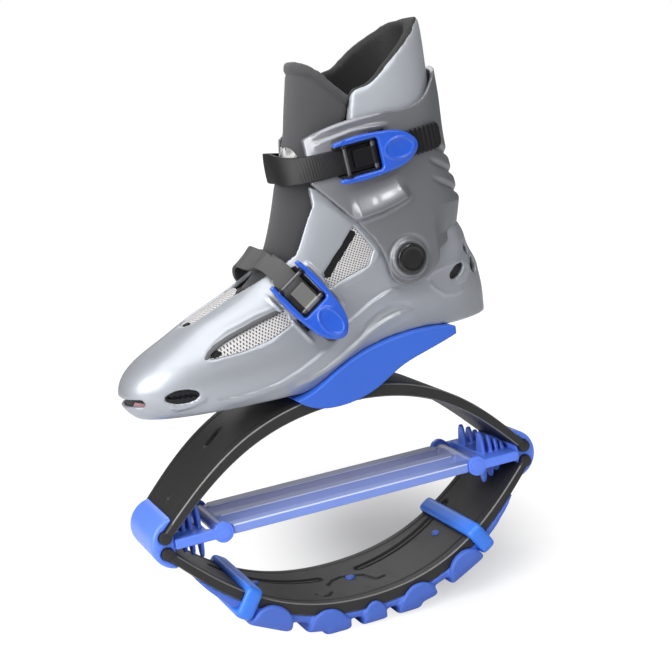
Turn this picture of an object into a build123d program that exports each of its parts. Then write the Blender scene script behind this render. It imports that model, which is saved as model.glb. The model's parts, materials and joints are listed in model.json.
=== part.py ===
from build123d import *
import math
import os

# A left rebound boot: a plastic skate-style boot on a pair of leaf springs.
# +X points to the heel, +Y to the inner side of the foot, +Z up, millimetres.
# The origin is on the floor, under the middle of the two leaf springs.

# Leaf springs and hinges
half_span = 165.0
hinge_height = 110.0
bead_radius = 5.2
bead_offset = 6.9
upper_rise = 84.0
lower_rise = 82.0
rise_bulge_share = 0.29
leaf_mid_thickness = 11.0
leaf_end_thickness = 7.0
leaf_mid_width = 96.6
leaf_end_width = 78.0
slot_length = 12.0
slot_width = 3.0
slot_place = 104.0

# End caps
cap_radius = 21.7
cap_reach = 12.0
cap_mouth = 7.0
cap_half_width = 35.0
cap_edge_radius = 3.5
cap_clearance = 0.25

# Spring links between the leaves
link_thickness = 8.4
link_half_width = 38.5
link_arm_width = 8.0
link_window_edge = 129.0
knuckle_place = 117.0
knuckle_radius = 8.6
knuckle_width = 5.0
link_pin_radius = 3.0
bumper_thickness = 3.2
bumper_half_width = 6.5
bumper_spacing = 34.0
bumper_places = (132.3, 139.7, 145.8, 151.5)
bumper_heights = (23.4, 19.6, 15.3, 11.0)

# Tension spring
strand_width = 12.0
strand_height = 8.0
strand_spacing = 31.0
cross_tube_radius = 5.5
pin_clearance = 0.05

# Tread
tread_gap = 0.2
tread_thickness = 7.2
tread_end = 143.0
tread_tip_thickness = 1.0
tread_full_end = 116.0
pad_places = (0.0, 40.0, 84.5)
pad_half_lengths = (11.0, 17.5, 18.5)
pad_rise = 8.0
pad_side_reach = 3.0
stance_start = 23.0
stance_end = 45.0
stance_height_share = 0.75
plug_radius = 4.5
plug_stand = 1.6
plug_seat_height = 3.6
plug_place = 88.0
plug_clearance = 0.15

# Bands that hold the tread on the lower leaf
band_place_share = 0.64
band_length = 11.0
band_thickness = 3.2
band_clearance = 0.3
band_side_clearance = 0.9
band_corner_radius = 2.6

# Saddle between the upper leaf and the boot
saddle_front = -44.0
saddle_length = 148.5
saddle_low = 194.5
saddle_height = 49.0
saddle_half_width = 52.0
saddle_clearance = 0.3
saddle_top_shares = ((0.0, 0.245), (0.1, 0.33), (0.21, 0.51), (0.39, 0.775), (0.58, 0.92), (0.77, 0.98),
                     (1.0, 0.93))
saddle_low_shares = ((1.0, 0.79), (0.79, 0.59), (0.63, 0.42), (0.49, 0.18), (0.37, 0.05), (0.24, 0.0),
                     (0.1, 0.06))
bolt_x = 20.0
bolt_y = 22.0
bolt_radius = 3.0
bolt_head_radius = 5.5
bolt_head_height = 4.0
washer_radius = 8.0
washer_thickness = 1.6
bolt_depth = 5.0
screw_places = ((62.0, -18.0), (62.0, 18.0), (92.0, 0.0))
screw_radius = 2.5
screw_head_radius = 4.6
screw_head_height = 2.0
screw_depth = 14.0

# Boot shell
shell_toe = -175.0
shell_length = 336.0
sole_height = 209.5
shell_height = 162.5
shell_half_width = 50.0
shell_wall = 4.0
wall_drop_share = 0.6
heel_sole_height = 240.0
shell_levels_shares = (
    (0.0, 0.036, 0.955, 0.86, 0.0),
    (0.046, 0.012, 0.973, 0.94, 0.0),
    (0.132, 0.0, 0.983, 1.0, 0.0),
    (0.23, 0.024, 0.986, 0.98, 0.0),
    (0.323, 0.092, 0.986, 0.94, 0.35),
    (0.415, 0.176, 0.98, 0.91, 0.6),
    (0.508, 0.277, 0.964, 0.9, 0.8),
    (0.6, 0.357, 0.936, 0.89, 1.0),
    (0.71, 0.408, 0.92, 0.88, 1.0),
    (0.852, 0.44, 0.915, 0.84, 1.0),
    (1.0, 0.467, 0.91, 0.8, 1.0),
)
station_shares = (0.0, 0.02, 0.09, 0.2, 0.33, 0.5, 0.66, 0.8, 0.92, 0.98, 1.0)
foot_width_shares = (0.0, 0.4, 0.74, 0.94, 1.0, 0.95, 0.89, 0.86, 0.68, 0.38, 0.0)
ankle_width_shares = (0.0, 0.33, 0.62, 0.82, 0.94, 1.0, 0.99, 0.9, 0.68, 0.38, 0.0)
shell_rim_shares = ((0.517, 1.01), (0.55, 0.96), (0.59, 0.86), (0.65, 0.78), (0.73, 0.725), (0.84, 0.69),
                    (1.06, 0.65))
throat_half_width = 29.5
throat_low_half_width = 13.0
throat_start_share = (0.29, 0.52)
throat_low_share = (0.36, 0.56)
throat_depth = 84.0
toe_slot_height = 6.0
toe_slot_level = 226.0
toe_slot_half_width = 26.0
toe_slot_depth = 16.0
toe_vent_x = -134.0
toe_vent_z = 228.0
toe_vent_length = 26.0
toe_vent_height = 11.0
vent_gap = 0.3
vent_thickness = 2.0
vent_slots = 2
vent_slot_pitch = 4.2
vent_slot_width = 1.8
vent_slot_length_share = 0.6
vent_slot_lean = 20.0
vamp_window_shares = ((0.196, 0.265), (0.217, 0.325), (0.271, 0.36), (0.348, 0.41), (0.399, 0.435),
                      (0.414, 0.363), (0.354, 0.308), (0.28, 0.277))
side_window_shares = ((0.604, 0.785), (0.646, 0.646), (0.628, 0.578), (0.557, 0.529), (0.518, 0.492),
                      (0.512, 0.572), (0.56, 0.677))
top_window_front = -116.0
top_window_back = -66.0
top_window_half_width = 11.0
top_window_radius = 8.0
top_window_low = 262.0
mesh_thickness = 1.2
mesh_depth = 1.4
mesh_gap = 0.15

# Cuff and its pivots
cuff_base = 278.0
cuff_height = 184.0
cuff_front = -27.0
cuff_length = 171.0
cuff_half_width = 51.0
cuff_wall = 3.6
cuff_levels_shares = (
    (0.0, 0.1, 0.985, 0.985),
    (0.136, 0.04, 1.0, 1.0),
    (0.283, 0.006, 0.99, 0.985),
    (0.446, 0.018, 0.965, 0.965),
    (0.582, 0.041, 0.94, 0.955),
    (0.717, 0.088, 0.93, 0.945),
    (0.88, 0.129, 0.925, 0.925),
    (1.0, 0.158, 0.925, 0.91),
)
cuff_top_shares = ((0.152, 0.72), (0.32, 0.775), (0.53, 0.795), (0.75, 0.825), (0.87, 0.93), (0.95, 0.97))
cuff_low_shares = ((0.75, 0.15), (0.58, 0.02), (0.5, 0.03), (0.455, 0.13), (0.42, 0.22), (0.34, 0.325),
                   (0.21, 0.465), (0.152, 0.525))
cuff_rear_low_share = 0.225
pivot_x = 70.0
pivot_z = 303.7
pivot_radius = 4.0
pivot_fit = 0.06
pivot_boss_radius = 14.5
pivot_boss_reach = 53.0
shell_boss_radius = 12.0
shell_boss_depth = 12.0
pivot_washer_thickness = 1.0
pivot_washer_radius = 9.0
pivot_cap_radius = 11.0
pivot_cap_height = 4.0
pivot_gap = 0.3
washer_gap = 0.1

# Liner, tongue and insole
liner_gap = 0.8
liner_thickness = 6.0
liner_split_radius = 62.0
liner_split_gap = 0.3
liner_throat_gap = 2.4
insole_thickness = 4.0
insole_gap = 0.1
collar_thickness = 11.0
collar_base = 352.0
collar_height = 147.0
collar_front = -8.0
collar_length = 142.0
collar_half_width = 42.0
collar_levels_shares = (
    (0.0, 0.0, 0.965, 0.81),
    (0.15, 0.01, 0.958, 0.83),
    (0.26, 0.02, 0.942, 0.93),
    (0.4, 0.03, 0.932, 1.0),
    (0.6, 0.05, 0.925, 1.0),
    (0.82, 0.1, 0.92, 0.95),
    (1.0, 0.16, 0.9, 0.84),
)
collar_cut_shares = ((0.13, 0.0), (0.17, 0.2), (0.36, 0.6), (0.40, 0.655), (0.46, 0.665), (0.56, 0.72),
                     (0.66, 0.80), (0.78, 0.9), (0.86, 0.965), (0.93, 0.975), (1.1, 0.93))
collar_corner_share = (0.243, 0.184)
tongue_base = 296.0
tongue_height = 178.0
tongue_front = -62.0
tongue_length = 180.0
tongue_half_width = 37.0
tongue_thickness = 8.0
tongue_levels_shares = (
    (0.0, 0.0, 1.0, 0.64),
    (0.12, 0.12, 1.0, 0.66),
    (0.25, 0.18, 1.0, 0.7),
    (0.42, 0.235, 1.0, 0.76),
    (0.65, 0.29, 1.0, 0.9),
    (0.85, 0.333, 1.0, 0.92),
    (1.0, 0.36, 1.0, 0.92),
)
tongue_cut_gap = 0.6
tongue_top_radius = 14.0
tongue_rim_shares = ((0.1, 1.02), (0.25, 1.01), (0.361, 0.992), (0.433, 0.955), (0.511, 0.876), (0.594, 0.792),
                     (0.678, 0.72), (0.9, 0.5))
liner_low_top = 332.0

# Straps
strap_width = 21.0
strap_thickness = 3.0
strap_gap = 0.5
strap_end_radius = 6.0
upper_strap_x = 12.0
upper_strap_z = 388.5
upper_strap_tilt = -6.2
upper_strap_inner_end = 50.0
upper_strap_outer_end = 104.0
lower_strap_x = -56.0
lower_strap_z = 317.0
lower_strap_tilt = 46.2
lower_strap_inner_end = 78.0
lower_strap_turn = 17.0
lower_strap_lead = 20.0
lower_strap_tail = 60.0
strap_start = 60.0
strap_rivet_inset = 10.0
strap_rivet_radius = 2.5
strap_rivet_head_radius = 5.5
strap_rivet_head_height = 2.2
strap_rivet_depth = 6.5
upper_strap_face = 52.0
lower_strap_face = 50.5
seat_gap = 0.05

# Ratchet buckles, in their own frame: x along the strap, y across it, z out
lever_tip = -8.2
lever_length = 70.0
lever_half_width = 18.0
lever_outline_shares = ((0.0, 0.9), (0.15, 0.985), (0.34, 1.0), (0.586, 0.93), (0.82, 0.745), (0.94, 0.44),
                        (1.0, 0.0))
lever_low = 6.1
lever_thickness = 4.6
lever_pin_half_length = 17.4
fork_half_width = 13.0
fork_length = 37.6
fork_corner_radius = 3.0
lever_edge_radius = 1.2
base_wall_outer = 12.7
base_wall_inner = 10.8
base_front = -6.0
base_length = 46.0
base_wall_height = 5.4
base_depth = 9.0
ear_radius = 3.6
lever_pin_radius = 1.6
lever_pin_height = 8.4
buckle_fit = 0.05
foot_start = 26.0
foot_length = 13.0
foot_reach = 5.0
foot_height = 1.7
bridge_start = 32.0
bridge_length = 7.0
bridge_low = 4.2
pawl_pin_x = 25.0
pawl_pin_z = 6.6
pawl_pin_radius = 1.2
pawl_barrel_radius = 2.4
pawl_tip = 7.0
pawl_half_width = 7.0
pawl_thickness = 2.6
pawl_tooth_height = 1.8
pawl_spring_radius = 2.1
pawl_spring_gap = 0.3
buckle_rivet_radius = 1.7
buckle_rivet_head_radius = 2.1
buckle_rivet_head_height = 1.0
buckle_rivet_depth = 6.4
upper_buckle_origin = (24.0, -46.6, 389.8)
upper_buckle_strap = (0.992, -0.05, 0.105)
upper_buckle_out = (-0.05, -0.9987, 0.0)
lower_buckle_origin = (-33.5, -39.5, 301.2)
lower_buckle_strap = (0.559, -0.211, -0.802)
lower_buckle_out = (-0.09, -0.978, 0.2)

# Cutting tools run past what they cut by this much
overrun = 20.0
curve_steps = 8


def side_face(*runs):
    """A face in the X-Z plane from runs of points: two points make a line, more a smooth curve."""
    edges = [Line(*run) if len(run) == 2 else Spline(*run) for run in runs]
    return Plane.XZ * make_face(edges)


def across(face, low, high):
    """The face from the X-Z plane made solid from y = low to y = high."""
    return extrude(Pos(0, high, 0) * face, amount=high - low, dir=(0, -1, 0))


def rod(x, z, radius, low, high):
    """A round rod along Y."""
    return across(Pos(x, 0, z) * (Plane.XZ * Circle(radius)), low, high)


def block(low, high):
    """A box from its low corner to its high corner."""
    size = [b - a for a, b in zip(low, high)]
    middle = [(a + b) / 2 for a, b in zip(low, high)]
    return Pos(*middle) * Box(*size)


def joined(solids):
    """All the given solids fused or grouped as one shape."""
    whole = solids[0]
    for piece in solids[1:]:
        whole = whole + piece
    return whole


def rise_at(share):
    """Height of a leaf's middle line over its bead, as a share of the leaf's rise."""
    open_share = 1 - share**2
    return open_share + rise_bulge_share * share**2 * open_share**2


def leaf_thickness(share):
    return leaf_mid_thickness - (leaf_mid_thickness - leaf_end_thickness) * share**2


def leaf_point(share, side, depth):
    """A point (x, z) on a leaf: side 1 upper, -1 lower; depth outwards from the outer face."""
    rise = upper_rise if side > 0 else lower_rise
    open_share = 1 - share**2
    slope_share = -2 * share + 2 * rise_bulge_share * share * open_share * (1 - 3 * share**2)
    slope = rise * slope_share / half_span
    stretch = math.hypot(slope, 1)
    offset = leaf_thickness(share) / 2 + depth
    x = half_span * share - slope / stretch * offset
    z = bead_offset + rise * rise_at(share) + offset / stretch
    return (x, hinge_height + side * z)


def leaf_curve(side, outward, inward=None, end_share=1.0):
    """Points along a leaf from front to back, at a depth outside or inside its faces."""
    points = []
    for step in range(-curve_steps, curve_steps + 1):
        share = end_share * step / curve_steps
        depth = outward if inward is None else -leaf_thickness(share) - inward
        points.append(leaf_point(share, side, depth))
    return points


def leaf_plan(grow, low, high):
    """The leaves' outline seen from above, as a tall solid."""
    reach = half_span + bead_radius + grow
    mid = leaf_mid_width / 2 + grow
    end = leaf_end_width / 2 + grow
    left = ThreePointArc((-reach, end), (0, mid), (reach, end))
    right = ThreePointArc((reach, -end), (0, -mid), (-reach, -end))
    face = make_face([left, Line((reach, end), (reach, -end)), right, Line((-reach, -end), (-reach, end))])
    return extrude(Pos(0, 0, low) * face, amount=high - low)


def leaf_band(side, grow):
    """A leaf's strip and beads, grown by a clearance, as wide as the object."""
    outer = leaf_curve(side, grow)
    inner = leaf_curve(side, None, grow)[::-1]
    strip = across(side_face(outer, (outer[-1], inner[0]), inner, (inner[-1], outer[0])),
                   -leaf_mid_width, leaf_mid_width)
    bead_z = hinge_height + side * bead_offset
    beads = [rod(end * half_span, bead_z, bead_radius + grow, -leaf_mid_width, leaf_mid_width)
             for end in (-1, 1)]
    return joined([strip] + beads)


def leaf(side):
    low, high = sorted((hinge_height - side * bead_radius, hinge_height + side * (upper_rise + overrun)))
    return leaf_band(side, 0) & leaf_plan(0, low - overrun, high + overrun)


def inner_face_height(share, side):
    return leaf_point(share, side, -leaf_thickness(share))[1]


def upper_leaf():
    solid = leaf(1)
    for end in (-1, 1):
        face = SlotOverall(slot_length, slot_width)
        solid -= extrude(Pos(end * slot_place, 0, hinge_height) * face, amount=upper_rise + overrun)
    seat = inner_face_height((bolt_x - washer_radius) / half_span, 1)
    for x in (-bolt_x, bolt_x):
        for y in (-bolt_y, bolt_y):
            hole = Cylinder(bolt_radius + pin_clearance, upper_rise)
            spot = Cylinder(washer_radius + cap_clearance, overrun)
            solid -= Pos(x, y, seat) * hole
            solid -= Pos(x, y, seat - overrun / 2) * spot
    return solid


def lower_leaf():
    solid = leaf(-1)
    for x in (-plug_place, 0, plug_place):
        hole = Cylinder(plug_radius + plug_clearance, lower_rise * 2)
        solid -= Pos(x, 0, hinge_height - lower_rise / 2) * hole
    return solid


def end_cap(end):
    """A C-shaped cap round both beads at one end; end is -1 at the toe and 1 at the heel."""
    middle = end * (half_span + cap_reach - cap_radius)
    cap = rod(middle, hinge_height, cap_radius, -cap_half_width, cap_half_width)
    flat = half_span - cap_mouth
    edge = half_span + cap_reach + overrun
    low, high = sorted((end * flat, end * edge))
    keep = block((low, -leaf_mid_width, 0), (high, leaf_mid_width, hinge_height * 2))
    cap = fillet(cap.edges().filter_by(GeomType.CIRCLE), cap_edge_radius) & keep
    return cap - leaf_band(1, cap_clearance) - leaf_band(-1, cap_clearance)


def spring_link(end):
    """The plate from a cap to its knuckles, with bumper fins above and below."""
    start = half_span - cap_mouth
    half = link_thickness / 2
    low, high = sorted((end * link_window_edge, end * start))
    parts = [block((low, -link_half_width, hinge_height - half), (high, link_half_width, hinge_height + half))]
    low, high = sorted((end * knuckle_place, end * (link_window_edge + link_arm_width)))
    for side in (-1, 1):
        near, far = sorted((side * (link_half_width - link_arm_width), side * link_half_width))
        arm_high = high if end > 0 else high - knuckle_radius
        arm_low = low + knuckle_radius if end > 0 else low
        parts.append(block((arm_low, near, hinge_height - half), (arm_high, far, hinge_height + half)))
        near, far = sorted((side * (link_half_width - knuckle_width), side * link_half_width))
        parts.append(block((low, near, hinge_height - half), (high, far, hinge_height + half)))
        parts.append(rod(end * knuckle_place, hinge_height, knuckle_radius, near, far))
    for place, height in zip(bumper_places, bumper_heights):
        fin = extrude(Plane.YZ * Ellipse(bumper_half_width, height), amount=bumper_thickness / 2, both=True)
        for side in (-1, 1):
            parts.append(Pos(end * place, side * bumper_spacing / 2, hinge_height) * fin)
    bore = rod(end * knuckle_place, hinge_height, link_pin_radius + pin_clearance, -link_half_width - overrun,
               link_half_width + overrun)
    return joined(parts) - bore


def tension_spring():
    """Three flat strands between two cross tubes."""
    tube_half = link_half_width - knuckle_width - cap_clearance
    half = strand_height / 2
    clear_end = knuckle_place - knuckle_radius - cap_clearance
    parts = []
    for end in (-1, 1):
        parts.append(rod(end * knuckle_place, hinge_height, cross_tube_radius, -tube_half, tube_half))
    for row in (-1, 0, 1):
        low = row * strand_spacing - strand_width / 2
        high = row * strand_spacing + strand_width / 2
        parts.append(block((-clear_end, low, hinge_height - half), (clear_end, high, hinge_height + half)))
        low, high = max(low, -tube_half), min(high, tube_half)
        parts.append(block((-knuckle_place, low, hinge_height - half),
                           (knuckle_place, high, hinge_height + half)))
    spring = joined(parts)
    for end in (-1, 1):
        spring -= rod(end * knuckle_place, hinge_height, link_pin_radius + pin_clearance, -link_half_width,
                      link_half_width)
    return spring


def link_pins():
    return joined([rod(end * knuckle_place, hinge_height, link_pin_radius, -link_half_width, link_half_width)
                   for end in (-1, 1)])


def tread():
    """The rubber strip under the lower leaf, with its pads and side cheeks."""
    end_share = tread_end / half_span
    full_share = tread_full_end / half_span
    top = leaf_curve(-1, tread_gap, None, end_share)
    low = []
    for step in range(-curve_steps, curve_steps + 1):
        share = end_share * step / curve_steps
        taper = max(0.0, (abs(share) - full_share) / (end_share - full_share))
        depth = tread_thickness - (tread_thickness - tread_tip_thickness) * taper
        low.append(leaf_point(share, -1, depth))
    low = low[::-1]
    body = across(side_face(top, (top[-1], low[0]), low, (low[-1], top[0])), -leaf_mid_width, leaf_mid_width)
    body = body & leaf_plan(0, 0, hinge_height)
    reach = leaf_mid_width / 2 + pad_side_reach
    parts = [body]
    pad_depth = leaf_point(0, -1, 0)[1]
    for place, half_length in zip(pad_places, pad_half_lengths):
        for end in ((-1, 1) if place else (1,)):
            share = end * place / half_span
            foot = leaf_point(share, -1, pad_depth)
            crown = leaf_point(share, -1, -pad_rise)
            lean = math.degrees(math.atan2(crown[0] - foot[0], crown[1] - foot[1]))
            half_plane = Pos(0, half_span) * Rectangle(half_span, half_span * 2)
            dome = Ellipse(half_length, pad_depth + pad_rise) & half_plane
            pad = across(Plane.XZ * dome, -reach, reach)
            parts.append(Pos(foot[0], 0, foot[1]) * (Rot(0, lean, 0) * pad))
            if place == pad_places[1]:
                near, far = sorted((end * stance_start, end * stance_end))
                parts.append(block((near, -reach, 0), (far, reach, pad_depth * stance_height_share)))
    whole = joined(parts)
    room = leaf_curve(-1, tread_gap, None, end_share)
    lift = hinge_height + overrun
    space = across(side_face(room, (room[-1], (room[-1][0], lift)), ((room[-1][0], lift), (room[0][0], lift)),
                             ((room[0][0], lift), room[0])), -leaf_mid_width, leaf_mid_width)
    whole -= space & leaf_plan(tread_gap, 0, lift + overrun)
    whole &= block((-half_span, -leaf_mid_width, 0), (half_span, leaf_mid_width, lift))
    return whole


def tread_plugs():
    """Rubber plugs up through the lower leaf."""
    solids = []
    for x in (-plug_place, 0, plug_place):
        share = x / half_span
        low = leaf_point(share, -1, 0)[1] + plug_seat_height
        high = inner_face_height(share, -1) + plug_stand
        solids.append(Pos(x, 0, (low + high) / 2) * Cylinder(plug_radius, high - low))
    return joined(solids)


def tread_band(end):
    """A rubber ring round the lower leaf and the tread strip."""
    share = end * band_place_share
    low = leaf_point(share, -1, tread_thickness + band_clearance)
    high = leaf_point(share, -1, -leaf_thickness(share) - band_clearance)
    middle = ((low[0] + high[0]) / 2, 0, (low[1] + high[1]) / 2)
    up = Vector(high[0] - low[0], 0, high[1] - low[1])
    plane = Plane(origin=middle, x_dir=(0, 1, 0), z_dir=Vector(0, 1, 0).cross(up))
    plan_share = abs(middle[0]) / half_span
    leaf_width = leaf_mid_width - (leaf_mid_width - leaf_end_width) * plan_share**2
    width = leaf_width + band_side_clearance * 2
    hole = Rectangle(width, up.length)
    ring = RectangleRounded(width + band_thickness * 2, up.length + band_thickness * 2, band_corner_radius)
    return plane * extrude(ring - hole, amount=band_length / 2, both=True)


def scaled(shares, low_x, length, low_z, height):
    return [(low_x + length * x, low_z + height * z) for x, z in shares]


def saddle_points(shares):
    return scaled(shares, saddle_front, saddle_length, saddle_low, saddle_height)


def saddle():
    """The blue wing-shaped block between the upper leaf and the boot, with its side cheeks."""
    top = saddle_points(saddle_top_shares)
    low = saddle_points(saddle_low_shares)
    side = side_face(top, (top[-1], low[0]), low + [top[0]])
    solid = across(side, -saddle_half_width, saddle_half_width)
    roof = leaf_curve(1, saddle_clearance)
    floor = hinge_height - overrun
    low_front, low_back = (roof[0][0], floor), (roof[-1][0], floor)
    under = across(side_face(roof, (roof[-1], low_back), (low_back, low_front), (low_front, roof[0])),
                   -leaf_mid_width, leaf_mid_width)
    solid -= under & leaf_plan(saddle_clearance, floor - overrun, hinge_height + upper_rise * 2)
    seat = inner_face_height((bolt_x - washer_radius) / half_span, 1)
    for x in (-bolt_x, bolt_x):
        for y in (-bolt_y, bolt_y):
            crown = leaf_point(0, 1, 0)[1]
            depth = crown + bolt_depth - seat
            solid -= Pos(x, y, seat + depth / 2) * Cylinder(bolt_radius + pin_clearance, depth)
    return solid


def saddle_bolts():
    seat = inner_face_height((bolt_x - washer_radius) / half_span, 1)
    crown = leaf_point(0, 1, 0)[1]
    solids = []
    for x in (-bolt_x, bolt_x):
        for y in (-bolt_y, bolt_y):
            head_top = seat - washer_thickness
            length = crown + bolt_depth - head_top - pin_clearance
            shank = Pos(x, y, head_top + length / 2) * Cylinder(bolt_radius, length)
            head = Pos(x, y, head_top - bolt_head_height / 2) * Cylinder(bolt_head_radius, bolt_head_height)
            solids.append(shank + head)
    return Compound(children=solids)


def saddle_washers():
    seat = inner_face_height((bolt_x - washer_radius) / half_span, 1)
    ring = Cylinder(washer_radius, washer_thickness) - Cylinder(bolt_radius + pin_clearance, overrun)
    return Compound(children=[Pos(x, y, seat - washer_thickness / 2) * ring
                              for x in (-bolt_x, bolt_x) for y in (-bolt_y, bolt_y)])


def oval_face(front, back, half_width, width_shares, z):
    """A closed outline seen from above, mirrored about the X axis."""
    length = back - front
    side = [(front + length * x, half_width * w) for x, w in zip(station_shares, width_shares)]
    ring = side + [(x, -y) for x, y in side[-2:0:-1]]
    return Pos(0, 0, z) * make_face(Spline(*ring, periodic=True))


def shell_body(inset, lift=0.0):
    """The boot's outer form, drawn in by an inset, with an open top where it is hollow."""
    faces = []
    for height, front, back, width, ankle in shell_levels_shares:
        widths = [f * (1 - ankle) + a * ankle for f, a in zip(foot_width_shares, ankle_width_shares)]
        toe = shell_toe + shell_length * front + inset
        heel = shell_toe + shell_length * back - inset
        z = sole_height + shell_height * height - inset * wall_drop_share
        faces.append(oval_face(toe, heel, shell_half_width * width - inset, widths, z))
    if lift:
        z = sole_height + shell_height + lift
        faces.append(oval_face(toe, heel, shell_half_width * width - inset, widths, z))
    return loft(faces)


def under_sole(rise):
    """Everything below the boot's sole line, raised by a given amount."""
    top = [(x, z + rise) for x, z in saddle_points(saddle_top_shares)]
    front = (shell_toe - overrun, sole_height + rise)
    back = (shell_toe + shell_length + overrun, heel_sole_height + rise)
    floor = sole_height - overrun * 2
    toe_edge = (top[0][0] - overrun / 2, sole_height + rise)
    face = side_face((front, toe_edge), (toe_edge, (top[0][0], sole_height + rise)),
                     [(top[0][0], sole_height + rise)] + top[1:],
                     (top[-1], back), (back, (back[0], floor)), ((back[0], floor), (front[0], floor)),
                     ((front[0], floor), front))
    return across(face, -shell_half_width - overrun, shell_half_width + overrun)


def throat(grow):
    """The open front of the shell where the tongue lies."""
    start, low = scaled((throat_start_share, throat_low_share), shell_toe, shell_length, sole_height,
                        shell_height)
    top = sole_height + shell_height + overrun
    narrow = throat_low_half_width + grow
    wide = throat_half_width + grow
    bend = low[1] - start[1] + overrun
    outline = make_face(Polyline((-narrow, 0), (-wide, bend), (-wide, top - start[1]), (wide, top - start[1]),
                                 (wide, bend), (narrow, 0), close=True))
    upright = Plane(origin=(start[0], 0, start[1]), x_dir=(0, -1, 0), z_dir=(-1, 0, 0))
    tool = extrude(upright * outline, amount=overrun) + extrude(upright * outline, amount=-throat_depth)
    return tool & block((-shell_length, -wide, start[1]), (0, wide, top + overrun))


def window(shares, grow):
    points = scaled(shares, shell_toe, shell_length, sole_height, shell_height)
    outline = make_face(Polyline(*points, close=True))
    return Plane.XZ * (offset(outline, grow) if grow else outline)


def shell():
    solid = shell_body(0) - (shell_body(shell_wall, overrun) - under_sole(shell_wall))
    solid -= under_sole(saddle_clearance)
    reach = shell_half_width + overrun
    rim = scaled(shell_rim_shares, shell_toe, shell_length, sole_height, shell_height)
    top = sole_height + shell_height + overrun
    above = side_face(rim, (rim[-1], (rim[-1][0], top)), ((rim[-1][0], top), (rim[0][0], top)),
                      ((rim[0][0], top), rim[0]))
    solid -= across(above, -reach, reach)
    solid -= throat(0) + top_window(0)
    slot = Plane.YZ * SlotOverall(toe_slot_half_width * 2, toe_slot_height)
    solid -= extrude(Pos(shell_toe - overrun, 0, toe_slot_level) * slot, amount=toe_slot_depth + overrun)
    vent = Plane.XZ * Ellipse(toe_vent_length / 2, toe_vent_height / 2)
    solid -= across(Pos(toe_vent_x, 0, toe_vent_z) * vent, -reach, reach)
    for shares in (vamp_window_shares, side_window_shares):
        tool = window(shares, 0)
        solid -= across(tool, -reach, -overrun / 2)
        solid -= across(tool, overrun / 2, reach)
    for side in (-1, 1):
        near, far = sorted((side * (shell_half_width - shell_boss_depth),
                            side * (cuff_half_width - cuff_wall - pivot_washer_thickness)))
        boss = rod(pivot_x, pivot_z, shell_boss_radius, near, far)
        boss -= rod(pivot_x, pivot_z, pivot_radius + pivot_fit, near - overrun, far + overrun)
        solid = (solid - rod(pivot_x, pivot_z, pivot_radius + pivot_fit, near, far)) + boss
    return solid


def top_window(grow):
    """A tall prism over the mesh strip on top of the toes."""
    length = top_window_back - top_window_front
    face = RectangleRounded(length + grow * 2, (top_window_half_width + grow) * 2, top_window_radius)
    place = Pos((top_window_front + top_window_back) / 2, 0, top_window_low)
    return extrude(place * face, amount=shell_height)


def layer(depth, thickness):
    """A thin skin of the shell's form, at a depth under its outer face."""
    return shell_body(depth) - shell_body(depth + thickness)


def mesh_panel(skin, shares, side):
    near, far = sorted((side * overrun / 2, side * (shell_half_width + overrun)))
    return skin & across(window(shares, -mesh_gap), near, far)


def cuff_body(inset):
    faces = []
    for height, front, back, width in cuff_levels_shares:
        faces.append(oval_face(cuff_front + cuff_length * front + inset, cuff_front + cuff_length * back - inset,
                               cuff_half_width * width - inset, ankle_width_shares,
                               cuff_base + cuff_height * height))
    return loft(faces)


def cuff():
    """The upper shell, open at the front, on its two side pivots."""
    solid = cuff_body(0) - cuff_body(cuff_wall)
    top = scaled(cuff_top_shares, cuff_front, cuff_length, cuff_base, cuff_height)
    low = scaled(cuff_low_shares, cuff_front, cuff_length, cuff_base, cuff_height)
    back = cuff_front + cuff_length + overrun
    corner_high = (back, top[-1][1])
    corner_low = (back, cuff_base + cuff_height * cuff_rear_low_share)
    outline = side_face(top, (top[-1], corner_high), (corner_high, corner_low), (corner_low, low[0]), low,
                        (low[-1], top[0]))
    reach = cuff_half_width + overrun
    solid &= across(outline, -reach, reach)
    for side in (-1, 1):
        near, far = sorted((side * (cuff_half_width - cuff_wall), side * pivot_boss_reach))
        solid += rod(pivot_x, pivot_z, pivot_boss_radius, near, far)
    solid -= rod(pivot_x, pivot_z, pivot_radius + pivot_fit, -reach, reach)
    return solid


def pivot_rivets():
    solids = []
    for side in (-1, 1):
        near, far = sorted((side * (shell_half_width - shell_boss_depth), side * (pivot_boss_reach + pivot_gap)))
        shank = rod(pivot_x, pivot_z, pivot_radius, near, far)
        low, high = sorted((side * (pivot_boss_reach + pivot_gap),
                            side * (pivot_boss_reach + pivot_gap + pivot_cap_height)))
        solids.append(shank + rod(pivot_x, pivot_z, pivot_cap_radius, low, high))
    return Compound(children=solids)


def pivot_washers():
    solids = []
    for side in (-1, 1):
        face = cuff_half_width - cuff_wall - washer_gap
        near, far = sorted((side * (face - pivot_washer_thickness + washer_gap), side * face))
        ring = rod(pivot_x, pivot_z, pivot_washer_radius, near, far)
        solids.append(ring - rod(pivot_x, pivot_z, pivot_radius + pivot_fit, near - overrun, far + overrun))
    return Compound(children=solids)


def sole_at(x):
    """Height of the saddle's top at x, between its drawn points."""
    points = saddle_points(saddle_top_shares)
    for (x0, z0), (x1, z1) in zip(points, points[1:]):
        if x <= x1:
            return z0 + (z1 - z0) * (x - x0) / (x1 - x0)
    return points[-1][1]


def screw_rods(grow, top_extra):
    solids = []
    for x, y in screw_places:
        head_top = sole_at(x) + shell_wall / 2
        shank_low = head_top - screw_head_height - screw_depth - grow
        shank = Pos(x, y, (shank_low + head_top) / 2) * Cylinder(screw_radius + grow, head_top - shank_low)
        head_low = head_top - screw_head_height
        head_high = head_top + top_extra
        head = Pos(x, y, (head_low + head_high) / 2) * Cylinder(screw_head_radius + grow, head_high - head_low)
        solids.append(shank + head)
    return solids


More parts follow.
